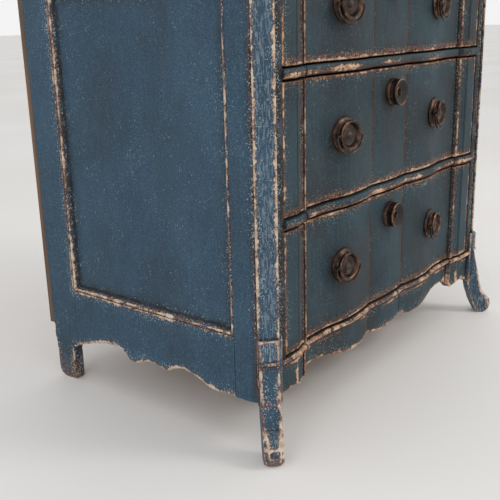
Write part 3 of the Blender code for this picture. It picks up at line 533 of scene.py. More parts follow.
def solid_tree(names):
    """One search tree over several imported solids, and the node of each of its faces."""
    points, faces, owners = [], [], []
    for name in names:
        data = NODES[name].data
        start = len(points)
        points += [v.co.copy() for v in data.vertices]
        faces += [[start + i for i in face.vertices] for face in data.polygons]
        owners += [name] * len(data.polygons)
    return BVHTree.FromPolygons(points, faces), owners


STILL = [name for name in NODES if not name.startswith(("bail_", "lock_"))]
SOLIDS, OWNERS = solid_tree(STILL)


def edge_points(node, outward):
    """Points along a node's sharp folds: those clear of its neighbours, and outward ones at them."""
    mesh = welded(node)
    found = []
    for edge in mesh.edges:
        if len(edge.link_faces) != 2:
            continue
        fold = edge.calc_face_angle_signed(0.0)
        if (fold if outward else -fold) < SHARP:
            continue
        first, last = edge.verts[0].co, edge.verts[1].co
        count = max(1, round((last - first).length / SAMPLE))
        found += [first.lerp(last, (i + 0.5) / count) for i in range(count)]
    mesh.free()
    if not outward:
        return found, []
    worn, joints = [], []
    for point in found:
        near = SOLIDS.find_nearest_range(point, TOUCHING)
        touched = any(OWNERS[index] != node for _, _, index, _ in near)
        (joints if touched else worn).append(point)
    return worn, joints


def point_tree(points):
    """Search tree over points, or nothing if there are none."""
    if not points:
        return None
    tree = KDTree(len(points))
    for index, point in enumerate(points):
        tree.insert(point, index)
    tree.balance()
    return tree


def dome(count):
    """Directions spread over the upper half of a sphere, closer together near the top."""
    turn = pi * (3 - sqrt(5))
    found = []
    for i in range(count):
        out = sqrt((i + 0.5) / count) * DOME_SPREAD
        up = sqrt(1 - out * out)
        found.append(Vector((out * cos(i * turn), out * sin(i * turn), up)))
    return found


DOME = dome(DOME_COUNT)


def occlusion(place, normal):
    """Share of the space in front of a point that is closed off close by."""
    turn = normal.to_track_quat("Z", "Y").to_matrix()
    start = place + normal * MM
    hidden = 0.0
    for direction in DOME:
        distance = SOLIDS.ray_cast(start, turn @ direction, SHADE_REACH)[3]
        if distance is not None:
            hidden += 1 - distance / SHADE_REACH
    return hidden / len(DOME)


def set_values(made, name, values):
    """Store one number for each point, for the materials to read."""
    layer = made.data.attributes.new(name, "FLOAT", "POINT")
    layer.data.foreach_set("value", np.asarray(values, np.float32))


def level_points(made, height):
    """Points along the line where a piece's surface crosses one height."""
    vertices = made.data.vertices
    parts = 4
    found = []
    for face in made.data.polygons:
        ends = []
        for first, last in face.edge_keys:
            start, stop = vertices[first].co, vertices[last].co
            if (start.z - height) * (stop.z - height) < 0:
                ends.append(start.lerp(stop, (height - start.z) / (stop.z - start.z)))
        if len(ends) == 2:
            found += [ends[0].lerp(ends[1], i / parts) for i in range(parts + 1)]
    return found


def point_values(made, name):
    """The places or the normals of a piece's points."""
    flat = np.empty(len(made.data.vertices) * 3, np.float32)
    made.data.vertices.foreach_get(name, flat)
    return [Vector(row) for row in flat.reshape(-1, 3).tolist()]


def unevenness(place):
    """Share of the full depth that a dent has at a place."""
    return max(0.0, noise.noise(place * DENT_BROAD) + 0.5 * noise.noise(place * DENT_SMALL) + DENT_LIFT)


def weather(made, node, strength, soiled_and_shaded=None, chalked=None, lines=()):
    """Dent the worn edges and store, for each point, its distances to edges and seams."""
    worn, joints = edge_points(node, True)
    for height in lines:
        worn += level_points(made, height)
    worn_tree = point_tree([point for point in worn if strength(point) > WORN_LEAST])
    fold_tree = point_tree(edge_points(node, False)[0])
    joint_tree = point_tree(joints)
    places = point_values(made, "co")
    normals = point_values(made, "normal")
    rows = []
    for i, (place, normal) in enumerate(zip(places, normals)):
        edge, rub, seam = FAR, 0.0, FAR
        if worn_tree:
            nearest, _, distance = worn_tree.find(place)
            edge, rub = min(distance / MM, FAR), strength(nearest)
        if fold_tree:
            seam = min(seam, fold_tree.find(place)[2] / MM)
        if joint_tree:
            seam = min(seam, joint_tree.find(place)[2] / MM + JOINT_SLACK)
        soil_and_shade = soiled_and_shaded(place) if soiled_and_shaded else 0.0
        chalk = chalked(place) if chalked else 0.0
        rows.append((edge, rub, seam, occlusion(place, normal), soil_and_shade, chalk))
        if edge < DENT_REACH and rub > 0:
            bite = unevenness(place)
            places[i] = place - normal * DENT * min(rub, DENT_MOST) * bite * (1 - edge / DENT_REACH) ** 2
    made.data.vertices.foreach_set("co", np.array([tuple(p) for p in places], np.float32).ravel())
    for name, values in zip(("edge", "rub", "seam", "shade", "soil_and_shade", "chalk"), zip(*rows)):
        set_values(made, name, values)


def smooth(made, angle=35):
    """Smooth shading over every fold below an angle in degrees."""
    made.data.shade_smooth()
    made.data.set_sharp_from_angle(angle=radians(angle))


# The serpentine front, finer than in the solids

def front_depth(across):
    """How far the front lies behind the plane of its end bands."""
    place = abs(across)
    bead_in, bead_out = BEAD_CENTRE - BEAD_RADIUS, BEAD_CENTRE + BEAD_RADIUS
    if place >= BAND_EDGE:
        return 0.0
    if place >= bead_out:
        return HOLLOW_DEPTH * sin((BAND_EDGE - place) / (BAND_EDGE - bead_out) * pi / 2)
    if place >= bead_in:
        into = (bead_out - place) / BEAD_WIDTH
        ground = HOLLOW_DEPTH + (VALLEY_DEPTH - HOLLOW_DEPTH) * into
        aside = (place - BEAD_CENTRE) / BEAD_RADIUS
        return ground - BEAD_HEIGHT * sqrt(max(1 - aside ** 2, 0.0))
    if place >= VALLEY:
        return VALLEY_DEPTH
    if place >= LOBE_PEAK:
        into = (place - LOBE_PEAK) / (VALLEY - LOBE_PEAK)
        return LOBE_DEPTH + (VALLEY_DEPTH - LOBE_DEPTH) * (1 - cos(pi * into)) / 2
    if place >= CREASE:
        into = (LOBE_PEAK - place) / (LOBE_PEAK - CREASE)
        return LOBE_DEPTH + (CREASE_DEPTH - LOBE_DEPTH) * into ** 2
    return CENTRE_DEPTH + (CREASE_DEPTH - CENTRE_DEPTH) * (place / CREASE) ** 2


def cut_lines(across):
    """Depth of the two fine lines at the edge of an end band."""
    place = abs(across)
    deepest = 0.0
    for centre in (BAND_EDGE, BAND_EDGE - LINE_STEP):
        deepest = max(deepest, LINE_DEPTH * (1 - abs(place - centre) / LINE_HALF))
    return deepest


def front_places(end, extra=()):
    """Places across the front where a section stands, from one end to the other."""
    bead = [BEAD_CENTRE - BEAD_RADIUS * cos(pi * i / 10) for i in range(11)]
    lines = []
    for centre in (BAND_EDGE - LINE_STEP, BAND_EDGE):
        lines += [centre - LINE_HALF, centre, centre + LINE_HALF]
    knots = [0, CREASE - MM, CREASE, CREASE + MM, LOBE_PEAK, *bead, *lines, end]
    half = {end}
    for near, far in zip(knots, knots[1:]):
        half.update(spread(near, far, STEP))
    half = sorted(half | {place for place in extra if 0 < place < end})
    return [-place for place in reversed(half[1:])] + half


def rounded(into, radius):
    """Setback of a rounded edge at a distance in from it."""
    if into >= radius:
        return 0.0
    return radius - sqrt(radius ** 2 - (radius - into) ** 2)


def quarter_turn(parts):
    """Angles from 0 to a right angle."""
    return [pi / 2 * i / parts for i in range(parts + 1)]


def rounded_steps(radius, count=4):
    """Distances in from an edge at which the points of its rounding stand."""
    return [radius * (1 - cos(turn)) for turn in quarter_turn(count)[:-1]]


def keyhole_cutter(centre):
    """Upright keyhole prism along Y: a round hole over a slot."""
    slot = KEY_SLOT / 2
    start = asin(slot / KEY_ROUND)
    sides = 24
    outline = []
    for i in range(sides + 1):
        turn = -pi / 2 + start + (2 * pi - 2 * start) * i / sides
        outline.append((KEY_ROUND * cos(turn), KEY_RISE + KEY_ROUND * sin(turn)))
    outline += [(-slot, -KEY_FOOT), (slot, -KEY_FOOT)]
    rings = [[(centre.x + x, centre.y + y, centre.z + z) for x, z in outline]
             for y in (-CUTTER_LENGTH / 2, CUTTER_LENGTH / 2)]
    return as_object("cutter", loft(rings), BRONZE)


def half_turn(rows):
    """Angles from straight down to straight up, round a nose."""
    return [pi * (i / rows - 0.5) for i in range(rows + 1)]


def swept(node, end, ring_at, extra=()):
    """Painted piece along the front, from the (depth, height) points of its section at each place."""
    rings = [[(place, y, z) for y, z in ring_at(place)] for place in front_places(end, extra)]
    return as_object(node + "_worn", loft(rings), FRONT_PAINT_SHADED)


def drawer_front(node):
    """Front of one drawer, with its lines, bead and keyhole."""
    low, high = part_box(node)
    steps = rounded_steps(ARRIS)
    heights = [low.z + s for s in steps] + spread(low.z + ARRIS, high.z - ARRIS, STEP)
    heights += [high.z - s for s in reversed(steps)]

    def ring(place):
        face = Y_FACE + front_depth(place) + cut_lines(place) + rounded(FRONT_END - abs(place), ARRIS)
        front = [(face + rounded(min(z - low.z, high.z - z), ARRIS), z) for z in heights]
        return [(high.y, low.z), *front, (high.y, high.z)]
    made = swept(node, FRONT_END, ring, [FRONT_END - s for s in steps])
    word = node.split("_")[1]
    key = sum(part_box("escutcheon_" + word), Vector()) / 2
    join_with(made, keyhole_cutter(Vector((0, Y_FACE, key.z))), "DIFFERENCE")
    return made


def rail(node):
    """Round-nosed rail along the serpentine, with the mortise of its lock bolt."""
    low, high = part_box(node)

    def ring(place):
        face = Y_FACE + front_depth(place)
        middle = (face + high.y) / 2
        nose = []
        for turn in half_turn(RAIL_ROWS):
            back = RAIL_NOSE * (RAIL_TOP_TURN if turn > 0 else RAIL_LOW_TURN) * (1 - cos(turn))
            nose.append((face - RAIL_NOSE + back, low.z + (high.z - low.z) * (1 + sin(turn)) / 2))
        return [(high.y, low.z), (middle, low.z), *nose, (middle, high.z), (high.y, high.z)]
    made = swept(node, RAIL_END, ring)
    bolt_low, bolt_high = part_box(BOLT_UNDER[node])
    room = Vector((MORTISE_CLEARANCE, MORTISE_CLEARANCE, MORTISE_CLEARANCE))
    mortise = block(bolt_low - room, bolt_high + room + Vector((0, 0, BOLT_TRAVEL)))
    join_with(made, mortise, "DIFFERENCE")
    return made


def base_moulding(node):
    """Roll over a fillet, under the lowest drawer."""
    low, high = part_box(node)
    roll_low = high.z - ROLL_HEIGHT

    def ring(place):
        face = Y_FACE + front_depth(place)
        roll = [(face - ROLL_NOSE * cos(turn), roll_low + ROLL_HEIGHT * (1 + sin(turn)) / 2)
                for turn in half_turn(ROLL_ROWS)]
        fillet = face + ARRIS
        return [(high.y, low.z), (fillet, low.z), (fillet, roll_low), *roll, (high.y, high.z)]
    return swept(node, BASE_END, ring)


def wavy_edge(turns, place):
    """Height of a scalloped edge, swinging from turn to turn."""
    place = min(max(place, turns[0][0]), turns[-1][0])
    for (x0, z0, kind0), (x1, z1, kind1) in zip(turns, turns[1:]):
        if place <= x1:
            into = (place - x0) / (x1 - x0)
            if kind0 == kind1 == "round":
                into = (1 - cos(pi * into)) / 2
            elif kind0 == "round":
                into = 1 - cos(pi / 2 * into)
            elif kind1 == "round":
                into = sin(pi / 2 * into)
            return z0 + (z1 - z0) * into
    return turns[-1][1]


def front_apron(node):
    """Scalloped board under the base moulding."""
    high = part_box(node)[1]

    def ring(place):
        face = Y_FACE + APRON_RECESS + front_depth(place)
        edge = wavy_edge(APRON_EDGE, abs(place))
        rise = high.z - edge - ARRIS
        front = [(face + rounded(s, ARRIS), edge + s) for s in rounded_steps(ARRIS)]
        front += [(face, edge + ARRIS + rise * i / APRON_ROWS) for i in range(APRON_ROWS + 1)]
        return [(high.y, edge), ((face + high.y) / 2, edge), *front, (high.y, high.z)]
    return swept(node, BASE_END, ring, [turn[0] for turn in APRON_EDGE])


# Boards and posts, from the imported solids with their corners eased

def eased(node):
    """A node's solid with its clear edges rounded and its surface split small."""
    mesh = welded(node)
    bmesh.ops.dissolve_limit(mesh, angle_limit=FLAT, verts=mesh.verts, edges=mesh.edges)
    clear = []
    for edge in mesh.edges:
        if len(edge.link_faces) == 2 and edge.calc_face_angle_signed(0.0) > ROUNDED:
            middle = (edge.verts[0].co + edge.verts[1].co) / 2
            near = SOLIDS.find_nearest_range(middle, TOUCHING)
            if all(OWNERS[index] == node for _, _, index, _ in near):
                clear.append(edge)
    bmesh.ops.bevel(mesh, geom=clear, offset=EASE_WIDTH, segments=3, profile=0.5, affect="EDGES",
                    clamp_overlap=True)
    slice_fine(mesh, LONGEST)
    return as_object(node + "_worn", mesh, SIDE_PAINT)


# Metalwork, drawn once about its own centre and copied to each place

def section(*parts):
    """Points of a round section from parts of a base height and (radius, rise) pairs in millimetres."""
    return [(radius * MM, base + rise * MM) for base, points in parts for radius, rise in points]


PLATE_SECTION = section(
    (PULL_DEPTH, ((0, -3.0), (3.5, -3.3), (5.2, -4.4), (6.2, -7.0))),
    (PULL_DEPTH - DISH_DEPTH, (
        (8.5, 0), (10.0, 1.4), (11.6, 0), (13.4, 1.8), (15.0, 0.4), (17.0, 2.2), (18.6, 1.6))),
    (PULL_DEPTH, (
        (20.6, -2.6), (21.6, -0.8), (22.8, 0), (24.2, -0.8), (25.4, -0.3), (26.6, -1.2), (26.9, -2.6),
        (25.6, -4.4), (24.3, -5.4))),
    (0.0, (
        (24.6, 9.2), (25.6, 8.4), (25.9, 7.2), (25.0, 6.0), (26.8, 4.6), (29.4, 3.6), (30.4, 2.4),
        (30.9, 1.0), (30.9, 0), (0, 0))),
)
BOSS_SECTION = section(
    (ESCUTCHEON_DEPTH - CONE_DEPTH, ((0, 0), (6.6, 0), (8.0, 3.0), (10.4, 1.0))),
    (ESCUTCHEON_DEPTH, (
        (14.0, -5.6), (16.0, -5.0), (19.6, -2.2), (21.2, -1.6), (22.6, -0.3), (24.0, 0), (25.1, -0.7),
        (25.5, -2.2), (25.1, -4.0), (23.6, -5.8))),
    (0.0, (
        (23.4, 11.0), (23.8, 10.0), (23.4, 8.6), (23.6, 6.2), (24.4, 4.6), (25.3, 3.4), (25.8, 2.2),
        (25.9, 0), (0, 0))),
)


def turned(name, profile, count=80, ribbed=()):
    """Round piece from its (radius, height) points, facing -Y with its back at y = 0."""
    mesh = bmesh.new()
    rings = []
    for row, (radius, height) in enumerate(profile):
        if radius == 0:
            rings.append([mesh.verts.new((0, -height, 0))])
            continue
        ring = []
        for i in range(count):
            turn = 2 * pi * i / count
            out = radius + (RIB_DEPTH * cos(RIB_COUNT * turn) if row in ribbed else 0.0)
            ring.append(mesh.verts.new((out * cos(turn), -height, out * sin(turn))))
        rings.append(ring)
    for near, far in zip(rings, rings[1:]):
        for i in range(count):
            j = (i + 1) % count
            corners = [near[i % len(near)], near[j % len(near)], far[j % len(far)], far[i % len(far)]]
            mesh.faces.new(list(dict.fromkeys(corners)))
    return as_object(name, mesh, BRONZE)


def join_with(made, other, operation):
    """Union or difference with another object, kept as the mesh."""
    change = made.modifiers.new("join", "BOOLEAN")
    change.operation = operation
    change.object = other
    change.solver = "EXACT"
    bpy.context.view_layer.update()
    data = bpy.data.meshes.new_from_object(made.evaluated_get(bpy.context.evaluated_depsgraph_get()))
    made.modifiers.clear()
    made.data = data
    bpy.data.objects.remove(other, do_unlink=True)


def block(low, high):
    """Box between two corners."""
    mesh = bmesh.new()
    bmesh.ops.create_cube(mesh, size=1.0)
    bmesh.ops.scale(mesh, vec=high - low, verts=mesh.verts)
    bmesh.ops.translate(mesh, vec=(low + high) / 2, verts=mesh.verts)
    return as_object("block", mesh, STEEL)


def ball(place, radius):
    mesh = bmesh.new()
    bmesh.ops.create_uvsphere(mesh, u_segments=24, v_segments=16, radius=radius)
    bmesh.ops.translate(mesh, vec=place, verts=mesh.verts)
    return as_object("ball", mesh, BRONZE)


def bar(place, radius, length):
    """Round bar along X."""
    mesh = bmesh.new()
    bmesh.ops.create_cone(mesh, cap_ends=True, segments=24, radius1=radius, radius2=radius,
                          depth=length)
    lie = Matrix.Rotation(pi / 2, 3, "Y")
    bmesh.ops.rotate(mesh, cent=(0, 0, 0), matrix=lie, verts=mesh.verts)
    bmesh.ops.translate(mesh, vec=place, verts=mesh.verts)
    return as_object("bar", mesh, BRONZE)


def bail_shape():
    """Round bar that hangs from its two pins, drawn about the pivot."""
    pin_end = BAIL_HALF - PIN_LENGTH + PIN_PLAY
    half = [(pin_end, 0.0), (pin_end + PIN_TAPER, 0.0), (BAIL_HALF - BAIL_CORNER, 0.0)]
    half += [(BAIL_HALF - BAIL_CORNER * (1 - sin(turn)), -BAIL_CORNER * (1 - cos(turn)))
             for turn in quarter_turn(6)[1:-1]]
    half += [(BAIL_HALF * cos(turn), -BAIL_CORNER - (BAIL_DROP - BAIL_CORNER) * sin(turn))
             for turn in quarter_turn(24)]
    route = half + [(-x, z) for x, z in reversed(half[:-1])]
    rings = []
    for i, (x, z) in enumerate(route):
        before, after = route[max(i - 1, 0)], route[min(i + 1, len(route) - 1)]
        along = Vector((after[0] - before[0], 0, after[1] - before[1])).normalized()
        out = Vector((-along.z, 0, along.x))
        radius = BAIL_RADIUS * (PIN_END if i in (0, len(route) - 1) else CAST_INSIDE)
        ring = []
        for turn in (2 * pi * k / BAIL_SIDES for k in range(BAIL_SIDES)):
            deep = Vector((0, radius * sin(turn), 0))
            ring.append(Vector((x, 0, z)) + out * radius * cos(turn) + deep)
        rings.append(ring)
    return as_object("bail", loft(rings), BRONZE)


def patina(made, hollow=(0.0, 0.0), dull=0.0):
    """Store how far each point stands out, and how closed in it is, more between the hollow's radii."""
    middle, half = (hollow[0] + hollow[1]) / 2, (hollow[1] - hollow[0]) / 2
    mesh = bmesh.new()
    mesh.from_mesh(made.data)
    mesh.normal_update()
    tree = BVHTree.FromBMesh(mesh)
    curve, shade = [], []
    for vertex in mesh.verts:
        place, normal = vertex.co, vertex.normal
        around = [edge.other_vert(vertex).co for edge in vertex.link_edges]
        lean = [normal.dot((place - other).normalized()) for other in around]
        curve.append(sum(lean) / max(len(lean), 1) * CURVE_GAIN)
        turn = normal.to_track_quat("Z", "Y").to_matrix()
        start = place + normal * CAST_START
        hits = [tree.ray_cast(start, turn @ way, CAST_REACH)[3] for way in DOME]
        inner = 0.0
        if dull:
            inner = dull * fade(abs(hypot(place.x, place.z) - middle), half - MM, half)
        closed = sum(1 - hit / CAST_REACH for hit in hits if hit is not None)
        shade.append(closed / len(DOME) + inner)
    mesh.free()
    set_values(made, "curve", curve)
    set_values(made, "shade", shade)


def place_copies(shape, places):
    """Copies of one drawn shape, each riding its body in place of its node."""
    for node, place, body in places:
        made = put_in(node + "_cast", shape.data.copy())
        made.data.transform(place)
        smooth(made, 42)
        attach(made, body)
        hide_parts(node)
    bpy.data.objects.remove(shape, do_unlink=True)


def build_metalwork():
    """Pull plates, bails and escutcheons, each in its place."""
    plate = turned("plate", PLATE_SECTION)
    for side in (-1, 1):
        lug = ball((side * LUG_REACH, -PIVOT_DEPTH, 0), LUG_RADIUS * CAST_INSIDE)
        join_with(plate, lug, "UNION")
    for side in (-1, 1):
        bore = bar((side * BAIL_HALF, -PIVOT_DEPTH, 0), BORE_RADIUS, 2 * PIN_LENGTH)
        join_with(plate, bore, "DIFFERENCE")
    patina(plate, (-DISH_RADIUS, DISH_RADIUS), PLATE_DULL)
    bail = bail_shape()
    patina(bail)
    boss = turned("boss", BOSS_SECTION, 4 * RIB_COUNT, RIB_ROWS)
    join_with(boss, keyhole_cutter(Vector()), "DIFFERENCE")
    patina(boss, (SURROUND_RADIUS, CONE_RADIUS), BOSS_DULL)
    plates, bails, bosses = [], [], []
    for word in LEVELS:
        body = "drawer_" + word
        for side, hand in zip((-1, 1), HANDS):
            node = f"pull_plate_{word}_{hand}"
            low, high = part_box(node)
            turn = Matrix.Rotation(side * PULL_TURN, 4, "Z")
            seat = Vector((side * PULL_PLACE, Y_FACE + front_depth(PULL_PLACE), (low.z + high.z) / 2))
            plates.append((node, Matrix.Translation(seat + turn @ Vector((0, -GAP, 0))) @ turn, body))
            node = f"bail_{word}_{hand}"
            pivot = seat + turn @ Vector((0, -GAP - PIVOT_DEPTH, 0))
            bails.append((node, Matrix.Translation(pivot) @ turn, node))
        low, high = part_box("escutcheon_" + word)
        middle = Vector((0, high.y, (low.z + high.z) / 2))
        bosses.append(("escutcheon_" + word, Matrix.Translation(middle), body))
    place_copies(plate, plates)
    place_copies(bail, bails)
    place_copies(boss, bosses)


# Bare boards and locks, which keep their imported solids

def dress(node, material, width=BOARD_EASE):
    """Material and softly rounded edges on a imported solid."""
    made = NODES[node]
    made.data.materials.clear()
    made.data.materials.append(material)
    ease = made.modifiers.new("ease", "BEVEL")
    ease.width = width
    ease.segments = 2
    ease.limit_method = "ANGLE"
    ease.angle_limit = radians(40)


def dress_boards():
    """Bare wood on the boards, and steel on the locks."""
    dress("bottom_board", WOOD_X)
    for hand in HANDS:
        dress("runner_lower_" + hand, WOOD_Y)
        dress("runner_upper_" + hand, WOOD_Y)
    for level in LEVELS:
        for hand in HANDS:
            dress(f"drawer_{level}_side_{hand}", WOOD_Y)
        dress(f"drawer_{level}_back", WOOD_X)
        dress(f"drawer_{level}_bottom", WOOD_Y, THIN_EASE)
        dress("lock_case_" + level, STEEL, LOCK_EASE)
        dress("lock_bolt_" + level, STEEL, LOCK_EASE)


def back_panel():
    """Upright boards of the back, with a groove at each joint."""
    node = "back_panel"
    low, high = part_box(node)
    joints = [low.x + (high.x - low.x) * i / BACK_BOARDS for i in range(1, BACK_BOARDS)]
    places = set(spread(low.x, high.x, BACK_STEP)) | {high.x}
    for joint in joints:
        places |= {joint - GROOVE_HALF, joint, joint + GROOVE_HALF}
    top = high.z - BACK_EASE
    heights = spread(low.z + BACK_EASE, top, BACK_RISE) + [top]
    rings = []
    for place in sorted(places):
        dip = GROOVE_DEPTH if place in joints else 0.0
        ring = [(place, low.y + dip, low.z), (place, high.y - dip - BACK_EASE, low.z)]
        ring += [(place, high.y - dip, z) for z in heights]
        ring += [(place, high.y - dip - BACK_EASE, high.z), (place, low.y + dip, high.z)]
        rings.append(ring)
    made = as_object(node + "_boards", loft(rings), WOOD_Z)
    smooth(made, 30)
    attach(made, "case")
    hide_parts(node)


# Where each kind of piece is worn, scratched pale, soiled and given painted shade. Each function answers
# for one point.

WORN = {  # 0 is untouched, and 1 bares a broad strip along the edge
    "cant": 0.95, "post arris": 1.15, "rear foot": 0.9, "rear post": 0.55, "panel moulding": 0.82,
    "side rail face": 1.05, "side rail": 0.5, "top board": 0.5, "leg line": 0.80, "toe": 0.60,
    "leg roll": 1.25, "leg block": 0.70, "leg": 0.88, "behind": 0.3, "front foot": 0.85,
    "front top": 0.45, "front end": 0.7, "bead": 0.70, "roll": 1.08, "apron line": 0.5,
    "scallops": 1.0, "apron": 0.35,
}
SCRATCHED = {"cant": 0.55, "leg block": 1.0, "toe": 0.95}
# Dirt, and painted shade in the cove, inner strip, panel rim, creases and hollows and under rolls and
# noses
SOIL_AND_SHADE = {
    "cove": 1.40, "inner strip": 1.55, "rear foot": 0.95, "panel rim": 0.85, "toe": 0.55,
    "under leg roll": 0.9, "front foot": 1.25, "front top": 0.95, "round crease": 0.95, "crease": 1.6,
    "left hollow": 1.3, "right hollow": 0.5, "valley": 0.7, "round metal": 0.8, "below metal": 0.7,
    "rail": 0.15, "rail foot": 0.95, "apron": 0.05, "apron top": 0.3,
}
NOSE_BAND = (0.2, 0.6)  # part of a rail's height that is rubbed
STREAK_GAIN = 2.8
STREAK_MOST = 0.9


def post_wear(point):
    if abs(point.x) > HALF_WIDTH - MM and point.y < Y_CANT + 1.5 * MM:
        return WORN["cant"]
    return WORN["post arris"] if point.y < Y_FRONT + MM else 0.0


def post_chalk(place):
    """Fine pale scratches down the canted face."""
    on_cant = place.y < Y_CANT - MM and abs(place.x) > HALF_WIDTH - CANT + MM
    return SCRATCHED["cant"] if on_cant else 0.0


def post_shade_and_soil(place):
    """Painted shade and dirt in the cove behind the cant, and over the inner strip beside the drawers.
    """
    across = abs(place.x)
    if across > HALF_WIDTH - 6 * MM and place.y > Y_CANT + 0.6 * MM:
        return SOIL_AND_SHADE["cove"] * fade(place.y - Y_CANT, 4 * MM, COVE_WIDTH)
    inside = across < HALF_WIDTH - CANT and place.y > Y_FRONT + 2 * MM
    return SOIL_AND_SHADE["inner strip"] if inside else 0.0


def rear_wear(point):
    return WORN["rear foot" if point.z < REAR_FOOT_TOP else "rear post"]


def rear_soil(place):
    """Dirt rising from the floor up the rear feet."""
    return SOIL_AND_SHADE["rear foot"] * fade(place.z, 25 * MM, 110 * MM)


def panel_inset(place):
    """How far in from the rim of its panel a place lies."""
    low, high = PANEL_BOX
    return min(place.y - low.y, high.y - place.y, place.z - low.z, high.z - place.z)


def panel_wear(point):
    return WORN["panel moulding"] if 3.5 * MM < panel_inset(point) < 6 * MM else 0.0


# Painted shade and dirt darkening the recessed panel towards its rim.
def panel_shade_and_soil(place):
    return SOIL_AND_SHADE["panel rim"] * fade(panel_inset(place), 7 * MM, 34 * MM)


def side_rail_wear(point):
    return WORN["side rail face" if abs(point.x) > HALF_WIDTH - 3 * MM else "side rail"]


def leg_wear(point):
    if abs(point.z - LEG_LINE) < LINE_SLACK:
        return WORN["leg line"]
    if point.z < TOE_TOP:
        return WORN["toe"]
    if LEG_ROLL_LOW - MM < point.z < LEG_ROLL_TOP + MM:
        return WORN["leg roll"]
    return WORN["leg block" if point.z > LEG_ROLL_LOW else "leg"]


def leg_chalk(place):
    """Scratched pale on the block above the roll, and scuffed grey at the toe."""
    if place.z > LEG_ROLL_TOP - MM:
        return SCRATCHED["leg block"]
    return SCRATCHED["toe"] * fade(place.z, 38 * MM, 66 * MM)


# Soiling rising up the toe, and painted shade in a band just under the roll.
def leg_soil_and_shade(place):
    under_roll = fade(abs(place.z - LEG_ROLL_LOW + 3 * MM), MM, 6 * MM)
    return SOIL_AND_SHADE["toe"] * fade(place.z, 20 * MM, 80 * MM) + SOIL_AND_SHADE["under leg roll"] * under_roll


def front_wear(node):
    low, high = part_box(node)

    def strength(point):
        if point.y > Y_FACE + BEHIND_FACE:
            return WORN["behind"]
        if point.z < low.z + 4 * MM:
            return WORN["front foot"]
        if point.z > high.z - 4 * MM:
            return WORN["front top"]
        if abs(point.x) > FRONT_END - 4 * MM:
            return WORN["front end"]
        on_bead = -0.1 * BEAD_RADIUS < abs(point.x) - BEAD_CENTRE < BEAD_RADIUS * 0.85
        return WORN["bead"] if on_bead else 0.0
    return strength


def front_soil_and_shade(node):
    """Soiling at the foot and round and below the metalwork; painted shade under the rail, in creases
    and hollows.
    """
    low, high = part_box(node)
    word = node.split("_")[1]
    metalwork = [(sum(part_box(name), Vector()) / 2, radius) for name, radius in (
        (f"pull_plate_{word}_left", PULL_RADIUS), (f"pull_plate_{word}_right", PULL_RADIUS),
        (f"escutcheon_{word}", ESCUTCHEON_RADIUS))]

    def soiled_and_shaded(place):
        across = abs(place.x)
        crease = abs(across - CREASE)
        # The left hollow gets more painted shade than the right one.
        hollow = SOIL_AND_SHADE["left hollow" if place.x < 0 else "right hollow"]
        # Soiling at the foot, painted shadow under the rail at the top, painted shade in creases and
        # hollows, darker valleys.
        amounts = [
            SOIL_AND_SHADE["front foot"] * fade(place.z - low.z, 2 * MM, 30 * MM),
            SOIL_AND_SHADE["front top"] * fade(high.z - place.z, MM, 14 * MM),
            SOIL_AND_SHADE["round crease"] * fade(crease, MM, 9 * MM),
            SOIL_AND_SHADE["crease"] * fade(crease, 0.5 * MM, 3.2 * MM),
            hollow * fade(abs(across - BEAD_CENTRE - 10 * MM), 3 * MM, 12 * MM),
            SOIL_AND_SHADE["valley"] * fade(abs(across - BEAD_CENTRE + 8 * MM), 3 * MM, 14 * MM),
        ]
        for centre, radius in metalwork:
            aside, below = abs(place.x - centre.x), centre.z - place.z
            around = fade(hypot(aside, below), radius, radius + 12 * MM)
            amounts.append(SOIL_AND_SHADE["round metal"] * around)
            if 0 < below < 3 * radius:
                run = SOIL_AND_SHADE["below metal"] * fade(aside, 2 * MM, 11 * MM)
                amounts.append(run * fade(below, radius, 3 * radius))
        return max(amounts)
    return soiled_and_shaded


def rail_wear(node):
    """Streaks of bare undercoat along the nose, with paint left between them."""
    low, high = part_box(node)
    more = 0.10 if node == "drawer_rail_lower" else -0.02

    def strength(point):
        level = (point.z - low.z) / (high.z - low.z)
        if point.y > Y_FACE + BEHIND_NOSE or not NOSE_BAND[0] < level < NOSE_BAND[1]:
            return 0.0
        streak = noise.noise(Vector((point.x * 12, 3.0 + low.z * 9, level * 2.0)))
        return min(max(STREAK_GAIN * (streak + more), 0.0), STREAK_MOST)
    return strength


# A little dirt all over the rail, and painted shadow along its foot, under the nose.
def rail_soil_and_shade(node):
    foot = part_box(node)[0].z
    return lambda place: SOIL_AND_SHADE["rail"] + SOIL_AND_SHADE["rail foot"] * fade(place.z - foot, 3 * MM, 11 * MM)


def base_wear(point):
    behind = point.y > Y_FACE + BEHIND_FACE
    return 0.0 if behind or point.z < BASE_LOW + 2 * MM else WORN["roll"]


def apron_wear(point):
    if point.y > Y_FACE + BEHIND_FACE:
        return WORN["behind"]
    if abs(point.z - APRON_LINE) < LINE_SLACK:
        return WORN["apron line"] if noise.noise(Vector((point.x * 11, 7.0, 0.0))) > -0.05 else 0.0
    return WORN["scallops" if point.z < SCALLOP_TOP else "apron"]


def apron_shade_and_soil(place):
    """Painted shade under the base moulding, and a little dirt all over."""
    return SOIL_AND_SHADE["apron top"] * fade(APRON_TOP - place.z, 2 * MM, 12 * MM) + SOIL_AND_SHADE["apron"]


WEAR = {
    "corner_post": (post_wear, post_shade_and_soil), "rear_post": (rear_wear, rear_soil),
    "side_panel": (panel_wear, panel_shade_and_soil), "side_bottom_rail": (side_rail_wear, None),
    "side_top_rail": (side_rail_wear, None), "front_leg": (leg_wear, leg_soil_and_shade),
    "base_moulding": (base_wear, None), "front_apron": (apron_wear, apron_shade_and_soil),
    "top_board": (lambda point: WORN["top board"], None),
}
CHALKED = {"front_leg": leg_chalk, "corner_post": post_chalk}
LINES = {"front_leg": (LEG_LINE,), "front_apron": (APRON_LINE,)}


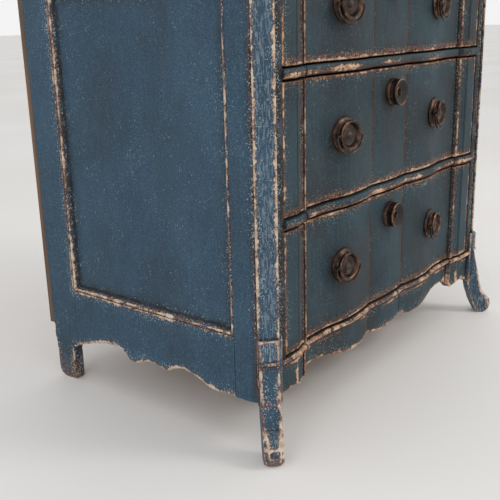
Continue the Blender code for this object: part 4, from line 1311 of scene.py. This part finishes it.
def build_painted():
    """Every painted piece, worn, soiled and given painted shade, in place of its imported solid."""
    makers = {"base_moulding": base_moulding, "front_apron": front_apron}
    for name, (body, slot) in PAINTED.items():
        kind = name.rsplit("_", 1)[0] if name.endswith(("_left", "_right")) else name
        if name.endswith("_front"):
            made = drawer_front(name)
            strength, soiled_and_shaded = front_wear(name), front_soil_and_shade(name)
        elif name in BOLT_UNDER:
            made = rail(name)
            strength, soiled_and_shaded = rail_wear(name), rail_soil_and_shade(name)
        else:
            made = makers[name](name) if name in makers else eased(name)
            strength, soiled_and_shaded = WEAR[kind]
        weather(made, name, strength, soiled_and_shaded, CHALKED.get(kind), LINES.get(kind, ()))
        smooth(made)
        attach(made, body)
        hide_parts(name)


def make_camera():
    data = bpy.data.cameras.new("photo_camera")
    data.sensor_width = SENSOR
    data.lens = CAMERA_FOCUS / PHOTO_SIDE * SENSOR
    data.clip_start = 0.05
    camera = put_in("photo_camera", data)
    tilt = Matrix.Rotation(pi / 2 - CAMERA_PITCH, 4, "X") @ Matrix.Rotation(CAMERA_ROLL, 4, "Z")
    aim = Matrix.Rotation(-CAMERA_YAW, 4, "Z") @ tilt
    camera.matrix_world = Matrix.Translation(CAMERA_PLACE) @ aim
    SCENE.camera = camera


def area_lamp(name, place, size, power, tint):
    data = bpy.data.lights.new(name, "AREA")
    data.shape = "DISK"
    data.size = size
    data.energy = power
    data.color = tint
    lamp = put_in(name, data)
    lamp.location = place
    lamp.rotation_euler = (Vector(LAMP_TARGET) - Vector(place)).to_track_quat("-Z", "Y").to_euler()


def make_stage():
    """Pale floor, pale surround and soft lamps."""
    g = Graph(bpy.data.materials.new("pale_floor"))
    floor_tone = g.mix(g.step(g.noise(0.8, 3), 0.3, 0.7), colour(234, 231, 228), colour(239, 237, 235))
    material = g.finish(floor_tone, 0.6, specular=0.2)
    mesh = bmesh.new()
    bmesh.ops.create_grid(mesh, x_segments=8, y_segments=8, size=FLOOR_REACH)
    floor = as_object("floor", mesh, material)
    g = Graph(bpy.data.worlds.new("studio"))
    SCENE.world = g.owner
    background = g.tree.nodes["Background"].inputs
    background["Color"].default_value = (1, 1, 1, 1)
    rays = g.add("ShaderNodeLightPath").outputs
    shown = g.math("MAXIMUM", rays["Is Camera Ray"], rays["Is Glossy Ray"])
    shown = g.math("MAXIMUM", shown, rays["Is Transmission Ray"])
    strength = g.run(g.add("ShaderNodeMapRange"), shown, 0.0, 1.0, WORLD_LIGHT, WORLD_SEEN)
    g.feed(background["Strength"], strength)
    for lamp in LAMPS:
        area_lamp(*lamp)


make_camera()
make_stage()
build_painted()
build_metalwork()
dress_boards()
back_panel()
SCENE.view_settings.view_transform = "Standard"
